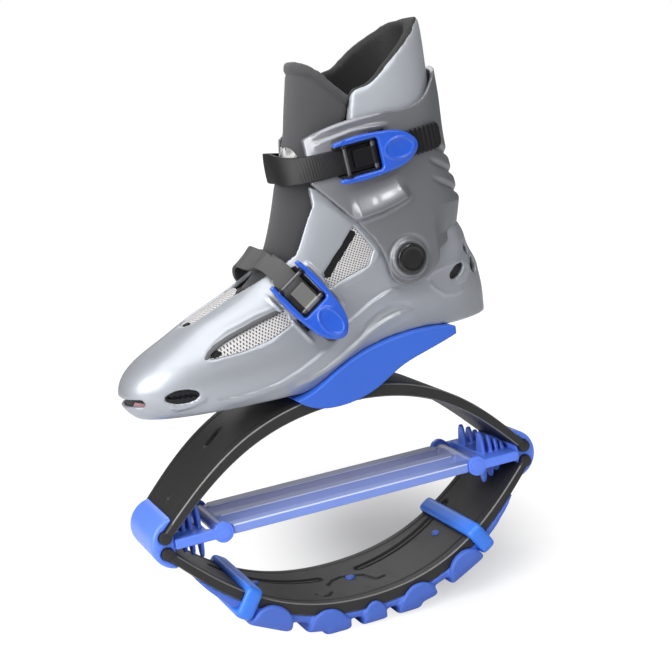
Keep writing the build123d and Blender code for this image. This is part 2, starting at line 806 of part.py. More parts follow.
def toe_vents(skin):
    """Slotted inserts in the toe's oval vents."""
    reach = shell_half_width + overrun
    oval = Plane.XZ * Ellipse(toe_vent_length / 2 - vent_gap, toe_vent_height / 2 - vent_gap)
    inserts = skin & across(Pos(toe_vent_x, 0, toe_vent_z) * oval, -reach, reach)
    for step in range(-vent_slots, vent_slots + 1):
        slot = Plane.XZ * SlotOverall(toe_vent_height * vent_slot_length_share, vent_slot_width)
        slot = Pos(toe_vent_x + step * vent_slot_pitch, 0, toe_vent_z) * (Rot(0, vent_slot_lean, 0) * slot)
        inserts -= across(slot, -reach, reach)
    return inserts


def pivot_cylinder(radius):
    return rod(pivot_x, pivot_z, radius, -cuff_half_width - overrun, cuff_half_width + overrun)


def foot_space(inset):
    """The room inside the boot at a given distance under its outer face."""
    return shell_body(inset, overrun) - under_sole(inset)


def liner_foot():
    """The soft liner's foot, up to a round seam about the cuff's pivot."""
    outer = shell_wall + liner_gap
    reach = shell_length * 2
    solid = foot_space(outer) - foot_space(outer + liner_thickness)
    low_part = block((-reach, -reach, 0), (reach, reach, liner_low_top))
    solid &= low_part + pivot_cylinder(liner_split_radius)
    clear = shell_half_width - shell_boss_depth - liner_split_gap
    for side in (-1, 1):
        near, far = sorted((side * clear, side * reach))
        solid -= rod(pivot_x, pivot_z, shell_boss_radius + liner_split_gap, near, far)
    return solid - throat(liner_throat_gap)


def insole():
    depth = shell_wall + liner_gap + liner_thickness + insole_gap
    top = under_sole(depth + insole_thickness)
    return (shell_body(depth + insole_gap, overrun) - under_sole(depth)) & top


def collar_body(inset):
    faces = []
    for height, front, back, width in collar_levels_shares:
        faces.append(oval_face(collar_front + collar_length * front + inset,
                               collar_front + collar_length * back - inset,
                               collar_half_width * width - inset, ankle_width_shares,
                               collar_base + collar_height * height))
    return loft(faces)


def collar_line(gap):
    """Everything behind the sloping front edge of the collar and under its rim, moved back by a gap."""
    points = scaled(collar_cut_shares, collar_front, collar_length, collar_base, collar_height)
    floor = tongue_base - overrun
    slant = (points[2][0] - points[0][0]) / (points[2][1] - points[0][1])
    foot_x = points[0][0] - slant * (points[0][1] - floor)
    edge = [(foot_x + gap, floor), (points[2][0] + gap, points[2][1])]
    rim = [edge[1]] + [(x + gap, z) for x, z in points[3:]]
    back = points[-1][0] + overrun * 2
    face = side_face(edge, rim, (rim[-1], (back, rim[-1][1])), ((back, rim[-1][1]), (back, floor)),
                     ((back, floor), edge[0]))
    reach = cuff_half_width + overrun
    return across(face, -reach, reach)


def liner_collar():
    """The liner's padded collar, which rides inside the cuff."""
    solid = (collar_body(0) - collar_body(collar_thickness)) & collar_line(0)
    solid -= pivot_cylinder(liner_split_radius + liner_split_gap)
    x, z = scaled((collar_corner_share,), collar_front, collar_length, collar_base, collar_height)[0]
    return solid - block((collar_front - overrun, -cuff_half_width, collar_base - overrun), (x, cuff_half_width, z))


def tongue_body(inset):
    faces = []
    for height, front, back, width in tongue_levels_shares:
        faces.append(oval_face(tongue_front + tongue_length * front + inset,
                               tongue_front + tongue_length * back - inset,
                               tongue_half_width * width - inset, ankle_width_shares,
                               tongue_base + tongue_height * height))
    return loft(faces)


def tongue():
    """The padded tongue in the open front of the boot."""
    reach = tongue_length * 2
    solid = tongue_body(0) - tongue_body(tongue_thickness)
    behind = collar_line(-tongue_cut_gap)
    top = tongue_base + tongue_height
    arch = Plane.YZ * Pos(0, top - reach / 2) * RectangleRounded(tongue_half_width * 2, reach, tongue_top_radius)
    rim = scaled(tongue_rim_shares, tongue_front, tongue_length, tongue_base, tongue_height)
    high_front, high_back = (rim[0][0], top + reach), (rim[-1][0], top + reach)
    above = across(side_face(rim, (rim[-1], high_back), (high_back, high_front), (high_front, rim[0])),
                   -reach, reach)
    return (solid - behind - above) & extrude(arch, amount=reach, both=True)


def tilted(x, z, tilt):
    """A plane across the boot whose x follows a strap down by a tilt in degrees."""
    turn = math.radians(tilt)
    return Plane(origin=(x, 0, z), x_dir=(math.cos(turn), 0, -math.sin(turn)), z_dir=(0, -1, 0))


def strap_outline(plane, start, end):
    length = end - start
    slab = Pos((start + end) / 2, 0) * RectangleRounded(length, strap_width, strap_end_radius)
    return plane * slab


def strap_side(plane, start, end, side):
    reach = cuff_half_width + overrun
    return extrude(strap_outline(plane, start, end), amount=reach, dir=(0, side, 0))


def upper_strap(skin):
    plane = tilted(upper_strap_x, upper_strap_z, upper_strap_tilt)
    tool = strap_side(plane, -strap_start, upper_strap_outer_end, -1)
    tool += strap_side(plane, -strap_start, upper_strap_inner_end, 1)
    return (skin & tool) - strap_rivet("upper", buckle_fit)


def lower_strap(skin):
    plane = tilted(lower_strap_x, lower_strap_z, lower_strap_tilt)
    turned = buckle_plane(lower_buckle_origin, lower_buckle_strap, lower_buckle_out)
    tool = strap_side(plane, -strap_start, lower_strap_inner_end, 1)
    tool += strap_side(plane, -strap_start, lower_strap_turn, -1)
    tool += extrude(strap_outline(turned, -lower_strap_lead, lower_strap_tail), amount=overrun, both=True)
    return (skin & tool) - strap_rivet("lower", buckle_fit)


def strap_rivet(which, grow):
    """The rivet that holds a strap's inner end, along Y."""
    if which == "upper":
        plane = tilted(upper_strap_x, upper_strap_z, upper_strap_tilt)
        end, face = upper_strap_inner_end, upper_strap_face
    else:
        plane = tilted(lower_strap_x, lower_strap_z, lower_strap_tilt)
        end, face = lower_strap_inner_end, lower_strap_face
    middle = plane.from_local_coords((end - strap_rivet_inset, 0, 0))
    shank = rod(middle.X, middle.Z, strap_rivet_radius + grow, face - strap_rivet_depth, face)
    head = rod(middle.X, middle.Z, strap_rivet_head_radius, face - grow * 2, face + strap_rivet_head_height)
    return shank if grow else shank + head


def buckle_plane(origin, run, out):
    return Plane(origin=origin, x_dir=run, z_dir=out)


def pin(x, z, radius, half_length):
    """A round pin across a buckle."""
    return Pos(x, 0, z) * (Rot(90, 0, 0) * Cylinder(radius, half_length * 2))


def buckle_rivets(grow):
    """Rivets through a buckle's feet."""
    solids = []
    for side in (-1, 1):
        y = side * (base_wall_outer + foot_reach / 2)
        x = foot_start + foot_length / 2
        low = foot_height - buckle_rivet_depth
        shank = Cylinder(buckle_rivet_radius + grow, foot_height - low)
        solids.append(Pos(x, y, (low + foot_height) / 2) * shank)
        head = Cylinder(buckle_rivet_head_radius, buckle_rivet_head_height)
        solids.append(Pos(x, y, foot_height + buckle_rivet_head_height / 2) * head)
    return solids


def buckle_base():
    """The channel over the strap, with ears for the pins and riveted feet."""
    back = base_front + base_length
    parts = []
    for side in (-1, 1):
        near, far = sorted((side * base_wall_inner, side * base_wall_outer))
        parts.append(block((base_front, near, -base_depth), (back, far, base_wall_height)))
        for x, z, radius in ((0, lever_pin_height, ear_radius), (pawl_pin_x, pawl_pin_z, pawl_barrel_radius)):
            ear = Rot(90, 0, 0) * Cylinder(radius, base_wall_outer - base_wall_inner)
            parts.append(Pos(x, (near + far) / 2, z) * ear)
            parts.append(block((x - radius, near, 0), (x + radius, far, z)))
        near, far = sorted((side * base_wall_inner, side * (base_wall_outer + foot_reach)))
        parts.append(block((foot_start, near, -base_depth), (foot_start + foot_length, far, foot_height)))
    parts.append(block((bridge_start, -base_wall_outer, bridge_low),
                       (bridge_start + bridge_length, base_wall_outer, base_wall_height)))
    solid = joined(parts)
    solid -= pin(0, lever_pin_height, lever_pin_radius + buckle_fit, base_wall_outer + overrun)
    solid -= pin(pawl_pin_x, pawl_pin_z, pawl_pin_radius + buckle_fit, base_wall_outer + overrun)
    for tool in buckle_rivets(buckle_fit)[::2]:
        solid -= tool
    return solid


def buckle_lever():
    """The forked lever, flat over the base when closed."""
    side = [(lever_tip + lever_length * x, lever_half_width * y) for x, y in lever_outline_shares]
    ring = side + [(x, -y) for x, y in side[-2::-1]]
    outline = make_face([Spline(*ring), Line(ring[-1], ring[0])])
    outline -= Pos(lever_tip, 0) * RectangleRounded(fork_length * 2, fork_half_width * 2, fork_corner_radius)
    solid = Pos(0, 0, lever_low) * extrude(outline, amount=lever_thickness)
    solid = chamfer(solid.edges().group_by(Axis.Z)[-1], lever_edge_radius)
    nose = pin(0, lever_pin_height, lever_pin_height - lever_low, lever_half_width)
    solid += nose & extrude(outline, amount=lever_pin_height * 2)
    return solid - pin(0, lever_pin_height, lever_pin_radius + buckle_fit, lever_half_width + overrun)


def lever_pin():
    return pin(0, lever_pin_height, lever_pin_radius, lever_pin_half_length)


def buckle_pawl():
    """The sprung pawl that points down on the strap."""
    barrel = pin(pawl_pin_x, pawl_pin_z, pawl_barrel_radius, pawl_half_width)
    low = pawl_pin_z - pawl_thickness / 2
    arm = block((pawl_tip, -pawl_half_width, low), (pawl_pin_x, pawl_half_width, low + pawl_thickness))
    tooth = block((pawl_tip, -pawl_half_width, low - pawl_tooth_height),
                  (pawl_tip + pawl_thickness, pawl_half_width, low + pawl_thickness))
    return barrel + arm + tooth - pin(pawl_pin_x, pawl_pin_z, pawl_pin_radius + buckle_fit, base_wall_outer)


def pawl_pin():
    return pin(pawl_pin_x, pawl_pin_z, pawl_pin_radius, base_wall_outer)


def pawl_spring():
    length = base_wall_inner - pawl_half_width - pawl_spring_gap * 2
    middle = (base_wall_inner + pawl_half_width) / 2
    tube = Cylinder(pawl_spring_radius, length) - Cylinder(pawl_pin_radius + buckle_fit, length * 2)
    tube = Rot(90, 0, 0) * tube
    return Compound(children=[Pos(pawl_pin_x, side * middle, pawl_pin_z) * tube for side in (-1, 1)])


if __name__ == "__main__":
    os.makedirs("parts", exist_ok=True)
    upper_place = buckle_plane(upper_buckle_origin, upper_buckle_strap, upper_buckle_out)
    lower_place = buckle_plane(lower_buckle_origin, lower_buckle_strap, lower_buckle_out)
    mesh_skin = layer(mesh_depth, mesh_thickness)
    boot, upper_shell = shell(), cuff()
    wing = saddle()
    for tool in screw_rods(pin_clearance, overrun):
        boot, wing = boot - tool, wing - tool
    lower_base = lower_place * buckle_base() - shell_body(-seat_gap)
    upper_base = upper_place * buckle_base() - cuff_body(-seat_gap)
    for tool in buckle_rivets(buckle_fit)[::2]:
        boot -= lower_place * tool
        upper_shell -= upper_place * tool
    boot -= strap_rivet("lower", buckle_fit)
    upper_shell -= strap_rivet("upper", buckle_fit)
    nodes = {
        "upper_leaf_spring": upper_leaf(),
        "lower_leaf_spring": lower_leaf(),
        "front_end_cap": end_cap(-1),
        "rear_end_cap": end_cap(1),
        "front_spring_link": spring_link(-1),
        "rear_spring_link": spring_link(1),
        "tension_spring": tension_spring(),
        "spring_link_pins": link_pins(),
        "tread": tread(),
        "tread_plugs": tread_plugs(),
        "front_tread_band": tread_band(-1),
        "rear_tread_band": tread_band(1),
        "saddle": wing,
        "saddle_bolts": saddle_bolts(),
        "saddle_washers": saddle_washers(),
        "sole_screws": Compound(children=screw_rods(0, 0)),
        "shell": boot,
        "toe_vents": toe_vents(layer(mesh_depth, vent_thickness)),
        "outer_vamp_mesh": mesh_panel(mesh_skin, vamp_window_shares, -1),
        "inner_vamp_mesh": mesh_panel(mesh_skin, vamp_window_shares, 1),
        "top_mesh": mesh_skin & top_window(-mesh_gap),
        "outer_side_mesh": mesh_panel(mesh_skin, side_window_shares, -1),
        "inner_side_mesh": mesh_panel(mesh_skin, side_window_shares, 1),
        "liner_foot": liner_foot(),
        "insole": insole(),
        "liner_collar": liner_collar(),
        "tongue": tongue(),
        "cuff": upper_shell,
        "pivot_rivets": pivot_rivets(),
        "pivot_washers": pivot_washers(),
        "upper_strap": upper_strap(cuff_body(-strap_gap - strap_thickness) - cuff_body(-strap_gap)),
        "lower_strap": lower_strap(shell_body(-strap_gap - strap_thickness) - shell_body(-strap_gap)),
        "upper_strap_rivet": strap_rivet("upper", 0),
        "lower_strap_rivet": strap_rivet("lower", 0),
        "upper_buckle_base": upper_base,
        "lower_buckle_base": lower_base,
    }
    for name, place in (("upper", upper_place), ("lower", lower_place)):
        nodes[name + "_buckle_rivets"] = Compound(children=[place * (shank + head) for shank, head in
                                                            zip(buckle_rivets(0)[::2], buckle_rivets(0)[1::2])])
        nodes[name + "_lever"] = place * buckle_lever()
        nodes[name + "_lever_pin"] = place * lever_pin()
        nodes[name + "_pawl"] = place * buckle_pawl()
        nodes[name + "_pawl_pin"] = place * pawl_pin()
        nodes[name + "_pawl_springs"] = place * pawl_spring()
    for name, solid in nodes.items():
        export_step(solid, os.path.join("parts", name + ".step"))
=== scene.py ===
import bpy
import bmesh
import json
import math
import numpy as np
from mathutils import Matrix, Vector
from mathutils.bvhtree import BVHTree


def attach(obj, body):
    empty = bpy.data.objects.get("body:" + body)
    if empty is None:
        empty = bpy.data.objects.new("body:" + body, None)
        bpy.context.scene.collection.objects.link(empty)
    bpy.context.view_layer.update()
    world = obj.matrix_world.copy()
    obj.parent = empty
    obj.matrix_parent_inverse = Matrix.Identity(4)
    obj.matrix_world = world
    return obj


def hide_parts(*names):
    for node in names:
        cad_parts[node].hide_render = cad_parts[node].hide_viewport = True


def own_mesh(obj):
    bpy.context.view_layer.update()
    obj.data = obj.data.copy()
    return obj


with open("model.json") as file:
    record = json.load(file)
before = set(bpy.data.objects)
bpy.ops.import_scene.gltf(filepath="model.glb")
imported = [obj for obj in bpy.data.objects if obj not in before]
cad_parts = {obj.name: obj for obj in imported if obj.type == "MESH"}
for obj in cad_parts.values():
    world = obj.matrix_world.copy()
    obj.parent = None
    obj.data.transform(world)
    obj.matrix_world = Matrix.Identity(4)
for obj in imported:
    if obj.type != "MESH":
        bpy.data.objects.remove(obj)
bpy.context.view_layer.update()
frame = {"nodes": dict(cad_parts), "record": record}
nodes = frame["nodes"]
MM = 0.001
WHITE = (1.0, 1.0, 1.0)


def new_object(name, data):
    obj = bpy.data.objects.new(name, data)
    bpy.context.collection.objects.link(obj)
    return obj


# Camera: its place, the picture's right and up, and the sensor and lens in millimetres
CAMERA_PLACE = Vector((-0.4041, -1.0683, 0.4777))
PICTURE_RIGHT = Vector((0.91262, -0.38797, -0.12885))
PICTURE_UP = Vector((0.19566, 0.13779, 0.97094))
SENSOR_WIDTH, LENS = 36, 73.97
NEAREST_SEEN, FARTHEST_SEEN = 0.05, 60


def make_camera():
    right = PICTURE_RIGHT.normalized()
    back = right.cross(PICTURE_UP).normalized()
    up = back.cross(right)
    data = bpy.data.cameras.new("camera")
    data.sensor_width, data.lens = SENSOR_WIDTH, LENS
    data.clip_start, data.clip_end = NEAREST_SEEN, FARTHEST_SEEN
    camera = new_object("camera", data)
    turn = Matrix((right, up, back)).transposed()
    camera.matrix_world = Matrix.Translation(CAMERA_PLACE) @ turn.to_4x4()
    bpy.context.scene.camera = camera


make_camera()

# Rays through the photograph, whose middle and focal length are in pixels
PHOTO_MIDDLE, PHOTO_FOCAL = 336.0, 1380.9
# A spot counts when its y is below the first value, and the spot before it is nearer than the second
NEAR_SIDE_LIMIT, LONGEST_STEP = 0.012, 0.02
# Rays straight in from the outer side, which start this far out in millimetres
OUTSIDE_Y, SIDE_STEPS = -1000, 6
SEARCH_TREES = {}


def ray_through(px, py):
    """The camera's place and the direction of the ray through a pixel of the photograph."""
    camera = bpy.context.scene.camera.matrix_world
    aim = Vector(((px - PHOTO_MIDDLE) / PHOTO_FOCAL, -(py - PHOTO_MIDDLE) / PHOTO_FOCAL, -1.0))
    return camera.translation, (camera.to_3x3() @ aim).normalized()


def search_tree(node):
    if node not in SEARCH_TREES:
        mesh = nodes[node].data
        points, faces = [v.co for v in mesh.vertices], [p.vertices for p in mesh.polygons]
        SEARCH_TREES[node] = BVHTree.FromPolygons(points, faces)
    return SEARCH_TREES[node]


def on_surface(node, pixels, steps=6):
    """Points, with their normals, where the rays through a line of pixels meet a CAD node's near side."""
    tree = search_tree(node)
    between = [tuple(np.add(a, np.subtract(b, a) * step / steps))
               for a, b in zip(pixels, pixels[1:]) for step in range(steps)]
    found = []
    for pixel in between + [pixels[-1]]:
        spot, normal = tree.ray_cast(*ray_through(*pixel))[:2]
        near = spot is not None and spot.y < NEAR_SIDE_LIMIT
        if near and (not found or (spot - found[-1][0]).length < LONGEST_STEP):
            found.append((spot, normal))
    return found


def spot_at(node, pixel):
    """The point and normal of a CAD node under one pixel, or None where the ray misses it."""
    found = on_surface(node, [pixel])
    return found[0] if found else None


def on_side(node, places):
    """Points and normals on a CAD node's outer side at places (x, z) in millimetres."""
    tree = search_tree(node)
    found = []
    for (x0, z0), (x1, z1) in zip(places, places[1:]):
        for t in np.linspace(0, 1, SIDE_STEPS, endpoint=False):
            start = Vector((x0 + (x1 - x0) * t, OUTSIDE_Y, z0 + (z1 - z0) * t)) * MM
            spot, normal = tree.ray_cast(start, Vector((0, 1, 0)))[:2]
            if spot is not None and spot.y < 0:
                found.append((spot, normal))
    return found


def flipped(vector):
    return Vector((vector.x, -vector.y, vector.z))


def mirrored(line):
    """The same line of points and normals on the other side of the boot."""
    return [(flipped(point), flipped(normal)) for point, normal in line]


class Wire:
    """A shader socket that takes sums and products."""

    def __init__(self, shading, socket):
        self.shading, self.socket = shading, socket

    def math(self, operation, *others):
        values = dict(enumerate((self,) + others))
        return self.shading.node("ShaderNodeMath", {"operation": operation}, values).wire(0)

    def __add__(self, other):
        return self.math("ADD", other)

    __radd__ = __add__

    def __mul__(self, other):
        return self.math("MULTIPLY", other)

    __rmul__ = __mul__

    def __sub__(self, other):
        return self.math("SUBTRACT", other)

    def __rsub__(self, other):
        return (self * -1) + other

    def band(self, low, high):
        """0 below low, 1 above high, and smooth between."""
        settings = {"interpolation_type": "SMOOTHSTEP"}
        values = {"Value": self, "From Min": low, "From Max": high, "To Min": 0.0, "To Max": 1.0}
        return self.shading.node("ShaderNodeMapRange", settings, values).wire("Result")


class Node:
    """A shader node whose outputs are wires."""

    def __init__(self, shading, node):
        self.shading, self.node = shading, node

    def wire(self, name):
        return Wire(self.shading, self.node.outputs[name])


class Shading:
    """A node tree whose nodes are made by one method."""

    def __init__(self, tree):
        self.tree = tree

    def feed(self, socket, value):
        if isinstance(value, Wire):
            self.tree.links.new(value.socket, socket)
        elif isinstance(value, tuple) and len(value) == 3 and socket.type == "RGBA":
            socket.default_value = value + (1.0,)
        else:
            socket.default_value = value

    def node(self, kind, settings=None, values=None):
        node = self.tree.nodes.new(kind)
        for name, value in (settings or {}).items():
            setattr(node, name, value)
        for name, value in (values or {}).items():
            self.feed(node.inputs[name], value)
        return Node(self, node)


class Finish(Shading):
    """A material, with the patterns that its surface is made from."""

    # A colour mix node's sockets: its share, its two colours and its result
    SHARE, FIRST, SECOND, MIXED = 0, 6, 7, 2

    def __init__(self, name, **constants):
        self.material = bpy.data.materials.new(name)
        self.material.use_nodes = True
        super().__init__(self.material.node_tree)
        self.surface = Node(self, self.tree.nodes["Principled BSDF"])
        self.set(**constants)

    def set(self, **values):
        for name, value in values.items():
            self.feed(self.surface.node.inputs[name.replace("_", " ")], value)

    def place(self):
        return self.node("ShaderNodeTexCoord").wire("Object")

    def axes(self):
        parts = self.node("ShaderNodeSeparateXYZ", None, {"Vector": self.place()})
        return parts.wire("X"), parts.wire("Y"), parts.wire("Z")

    def noise(self, scale, detail=2.0):
        values = {"Vector": self.place(), "Scale": scale, "Detail": detail}
        return self.node("ShaderNodeTexNoise", None, values).wire("Fac")

    def mix(self, share, first, second):
        values = {self.SHARE: share, self.FIRST: first, self.SECOND: second}
        return self.node("ShaderNodeMix", {"data_type": "RGBA"}, values).wire(self.MIXED)

    def bump(self, height, distance, strength=1.0):
        values = {"Height": height, "Distance": distance, "Strength": strength}
        self.set(Normal=self.node("ShaderNodeBump", None, values).wire("Normal"))


def shaded(colour, share):
    return tuple(min(1.0, c * share) for c in colour)


def painted_plastic(name, colour, roughness, metallic=0.0, coat=0.0, grain=0.00006, shine=0.5):
    """Moulded plastic: faint mottling, fine grain and a little wear in the gloss."""
    finish = Finish(name, Metallic=metallic, Coat_Weight=coat, Coat_Roughness=0.12, Specular_IOR_Level=shine)
    cloudy = finish.noise(scale=14.0, detail=3.0)
    scuffs = finish.noise(scale=60.0, detail=4.0).band(0.55, 0.8)
    finish.set(Base_Color=finish.mix(cloudy, shaded(colour, 0.92), shaded(colour, 1.08)))
    finish.set(Roughness=roughness + cloudy * 0.06 + scuffs * 0.08)
    finish.bump(finish.noise(scale=900.0), distance=grain)
    return finish


def flake_paint(name, colour, roughness, metallic):
    """Metallic paint with fine flakes under a clear coat."""
    finish = Finish(name, Coat_Weight=0.5, Coat_Roughness=0.12, Metallic=metallic)
    flakes = finish.noise(scale=2600.0, detail=1.0)
    cloudy = finish.noise(scale=9.0)
    scuffs = finish.noise(scale=70.0, detail=3.0).band(0.6, 0.85)
    tone = flakes * 0.5 + cloudy * 0.5
    finish.set(Base_Color=finish.mix(tone, shaded(colour, 0.88), shaded(colour, 1.1)))
    finish.set(Roughness=roughness + flakes * 0.05 + scuffs * 0.06)
    finish.bump(finish.noise(scale=30.0), distance=0.0002, strength=0.5)
    return finish


def woven(name, colour, dark, pitch):
    """Woven cloth: two crossed sets of threads at a pitch in metres."""
    finish = Finish(name, Roughness=0.85, Sheen_Weight=0.25)
    x, y, z = finish.axes()
    warp = ((x + z) * (math.pi * 2 / pitch)).math("SINE")
    weft = ((z - x + y * 0.7) * (math.pi * 2 / pitch)).math("SINE")
    weave = (warp * weft) * 0.5 + 0.5
    cloudy = finish.noise(scale=30.0, detail=3.0)
    finish.set(Base_Color=finish.mix(weave * 0.6 + cloudy * 0.4, dark, colour))
    finish.bump(weave, distance=0.00025)
    return finish


def open_mesh(name, colour, dark, pitch):
    """Light sports mesh: staggered rows of small dark holes between pale threads."""
    finish = Finish(name, Roughness=0.8)
    x, y, z = finish.axes()
    rise = z - y
    along = ((x + rise * 0.5) * (math.pi * 2 / pitch)).math("SINE")
    up = ((rise - x * 0.35) * (math.pi * 2 / (pitch * 0.8))).math("SINE")
    uneven = finish.noise(scale=420.0) * 0.3 - 0.15
    holes = (along * up + uneven).band(0.25, 0.55)
    threads = finish.mix(finish.noise(scale=40.0), shaded(colour, 0.85), colour)
    finish.set(Base_Color=finish.mix(holes, threads, dark))
    finish.bump(1 - holes, distance=0.0006)
    return finish


def two_faced(name, outside, lining):
    """Smooth padded vinyl outside, and dark cloth where the mesh is marked as lining."""
    finish = Finish(name)
    inside = finish.node("ShaderNodeAttribute", {"attribute_name": "lining"}).wire("Fac").band(0.42, 0.58)
    cloudy = finish.noise(scale=22.0, detail=3.0)
    vinyl = finish.mix(cloudy, shaded(outside, 0.92), shaded(outside, 1.06))
    cloth = finish.mix(cloudy, shaded(lining, 0.6), shaded(lining, 1.5))
    finish.set(Base_Color=finish.mix(inside, vinyl, cloth), Roughness=0.4 + inside * 0.3 + cloudy * 0.06)
    finish.set(Metallic=0.25 - inside * 0.25)
    x, y, z = finish.axes()
    threads_per_metre = 3800.0
    weave = ((x + y) * threads_per_metre).math("SINE") * (z * threads_per_metre).math("SINE")
    finish.bump(weave * inside + finish.noise(scale=600.0), distance=0.00008)
    return finish


def rubber_with_painted_shade(name, near, far):
    """Smooth rubber with painted shade: bright on the near strand and duller across to the far one, as if in
    shadow.
    """
    finish = Finish(name, Coat_Weight=0.15, Coat_Roughness=0.2)
    x, y, z = finish.axes()
    cloudy = finish.noise(scale=18.0, detail=3.0)
    # Painted shade: the colour dulls from the near strand across to the far one
    share = (y * 14.0 + 0.5).band(0.0, 1.0)
    finish.set(Base_Color=finish.mix(share, finish.mix(cloudy, shaded(near, 0.93), near), far))
    finish.set(Roughness=0.32 + cloudy * 0.08)
    finish.bump(finish.noise(scale=700.0), distance=0.00004)
    return finish


SILVER = (0.375, 0.395, 0.43)
# Painted shade: the cuff has the shell's silver paint, darkened here for the dimmer light on it
SHADED_CUFF_SILVER = (0.215, 0.222, 0.24)

FINISHES = {
    # Leaf springs, tread and tension unit
    "carbon_plastic": painted_plastic("charcoal_leaf_plastic", (0.019, 0.018, 0.0175), 0.42,
                                      grain=0.00012, shine=0.4),
    # Painted highlight: a paler charcoal on the leaves' rounded edges
    "leaf_edge": painted_plastic("painted_highlight_on_leaf_rims", (0.15, 0.148, 0.144), 0.35),
    "tread_rubber": painted_plastic("blue_tread_rubber", (0.058, 0.135, 0.54), 0.45, grain=0.0001),
    "band_rubber": painted_plastic("bright_band_rubber", (0.036, 0.19, 0.78), 0.38, coat=0.1),
    "cap_plastic": painted_plastic("bright_blue_plastic", (0.10, 0.22, 0.86), 0.33, coat=0.1),
    # Painted shade across the spring's strands, from the bright near one to the duller far one
    "spring_rubber": rubber_with_painted_shade("painted_shade_spring_rubber", (0.19, 0.29, 0.74), (0.27, 0.29, 0.50)),
    # Painted highlight: a paler blue on the strands' upper front edges
    "strand_edge": painted_plastic("painted_highlight_strand_tops", (0.62, 0.68, 0.90), 0.3),
    "steel": painted_plastic("dark_plated_steel", (0.16, 0.16, 0.17), 0.3, metallic=0.9),
    # Saddle, shell and cuff
    "wing_plastic": painted_plastic("blue_wing_plastic", (0.030, 0.125, 0.60), 0.38),
    "shell_silver": flake_paint("silver_shell_paint", SILVER, 0.42, 0.5),
    # Painted shade: the shell's silver, darker on the cuff
    "cuff_grey": flake_paint("cuff_silver_painted_shade", SHADED_CUFF_SILVER, 0.37, 0.5),
    "pivot_black": painted_plastic("glossy_pivot_cap", (0.006, 0.006, 0.0065), 0.24, coat=0.3),
    "dark_trim": painted_plastic("dark_window_trim", (0.075, 0.078, 0.082), 0.5),
    "black_trim": painted_plastic("black_window_trim", (0.008, 0.008, 0.009), 0.6, shine=0.2),
    # Mesh, liner, tongue and collar
    "mesh_fabric": open_mesh("pale_sports_mesh", (0.60, 0.585, 0.585), (0.06, 0.058, 0.06), 0.0034),
    "liner_fabric": woven("dark_liner_cloth", (0.018, 0.017, 0.019), (0.008, 0.008, 0.009), 0.0016),
    "tongue_fabric": woven("grey_tongue_cloth", (0.062, 0.062, 0.066), (0.040, 0.040, 0.043), 0.0014),
    "insole_foam": woven("pink_insole_foam", (0.42, 0.22, 0.24), (0.3, 0.15, 0.17), 0.003),
    "collar_vinyl": two_faced("silver_collar_vinyl", (0.43, 0.455, 0.49), (0.013, 0.012, 0.013)),
    # Straps and buckles
    "strap_plastic": painted_plastic("black_strap", (0.010, 0.010, 0.011), 0.42, shine=0.35),
    "lower_strap_plastic": painted_plastic("dark_grey_strap", (0.068, 0.066, 0.067), 0.55, shine=0.35),
    "buckle_black": painted_plastic("black_buckle", (0.005, 0.005, 0.006), 0.36, shine=0.3),
    "lever_blue": painted_plastic("blue_lever", (0.017, 0.092, 0.54), 0.25, coat=0.25),
    "pawl_grey": painted_plastic("grey_pawl_metal", (0.20, 0.20, 0.195), 0.3, metallic=0.4),
}


def wear(obj, finish):
    obj.data.materials.clear()
    obj.data.materials.append(FINISHES[finish].material)


def paint_faces(obj, finish, chosen):
    """A second finish on the faces that a test picks."""
    obj.data.materials.append(FINISHES[finish].material)
    for face in obj.data.polygons:
        if chosen(face):
            face.material_index = 1


def slot_of(node):
    return next(part["material_slot"] for part in frame["record"]["subparts"] if part["node"] == node)


def finish_cad_nodes():
    """Each CAD node gets the finish that the record names for it."""
    for part in frame["record"]["subparts"]:
        node = nodes[part["node"]]
        if len(node.material_slots) == 0:
            node.data.materials.append(None)
        for slot in node.material_slots:
            slot.material = FINISHES[part["material_slot"]].material


finish_cad_nodes()


def rising(values, start, over):
    """0 up to start, 1 from start + over on, and straight between."""
    return np.clip((values - start) / over, 0, 1)


def falling(values, end, over):
    """1 up to end - over, 0 from end on, and straight between."""
    return np.clip((end - values) / over, 0, 1)


def bell(distances, width):
    return np.exp(-(distances / width) ** 2)


def facing(cosines, gain, cut):
    """1 where a surface is turned towards a direction, and 0 where it is turned away."""
    return np.clip(cosines * gain - cut, 0, 1)


def turns(count):
    """Evenly spaced angles round a circle."""
    return np.linspace(0, 2 * math.pi, count, endpoint=False)


def edit_mesh(mesh, change):
    shape = bmesh.new()
    shape.from_mesh(mesh)
    change(shape)
    shape.to_mesh(mesh)
    shape.free()


def right_way_out(mesh):
    edit_mesh(mesh, lambda shape: bmesh.ops.recalc_face_normals(shape, faces=shape.faces))


def smooth_by_angle(mesh, degrees):
    """Smooth faces, with edges sharper than the angle kept crisp."""
    limit = math.radians(degrees)

    def mark_edges(shape):
        for edge in shape.edges:
            if len(edge.link_faces) == 2:
                edge.smooth = edge.calc_face_angle(0.0) < limit

    smooth_faces(mesh)
    edit_mesh(mesh, mark_edges)


def smooth_faces(mesh):
    for face in mesh.polygons:
        face.use_smooth = True


def points_of(mesh):
    """A mesh's points and their normals as arrays."""
    points, normals = np.empty(len(mesh.vertices) * 3), np.empty(len(mesh.vertices) * 3)
    mesh.vertices.foreach_get("co", points)
    mesh.vertices.foreach_get("normal", normals)
    return points.reshape(-1, 3), normals.reshape(-1, 3)


def put_points(mesh, points):
    mesh.vertices.foreach_set("co", np.ascontiguousarray(points).ravel())
    mesh.update()


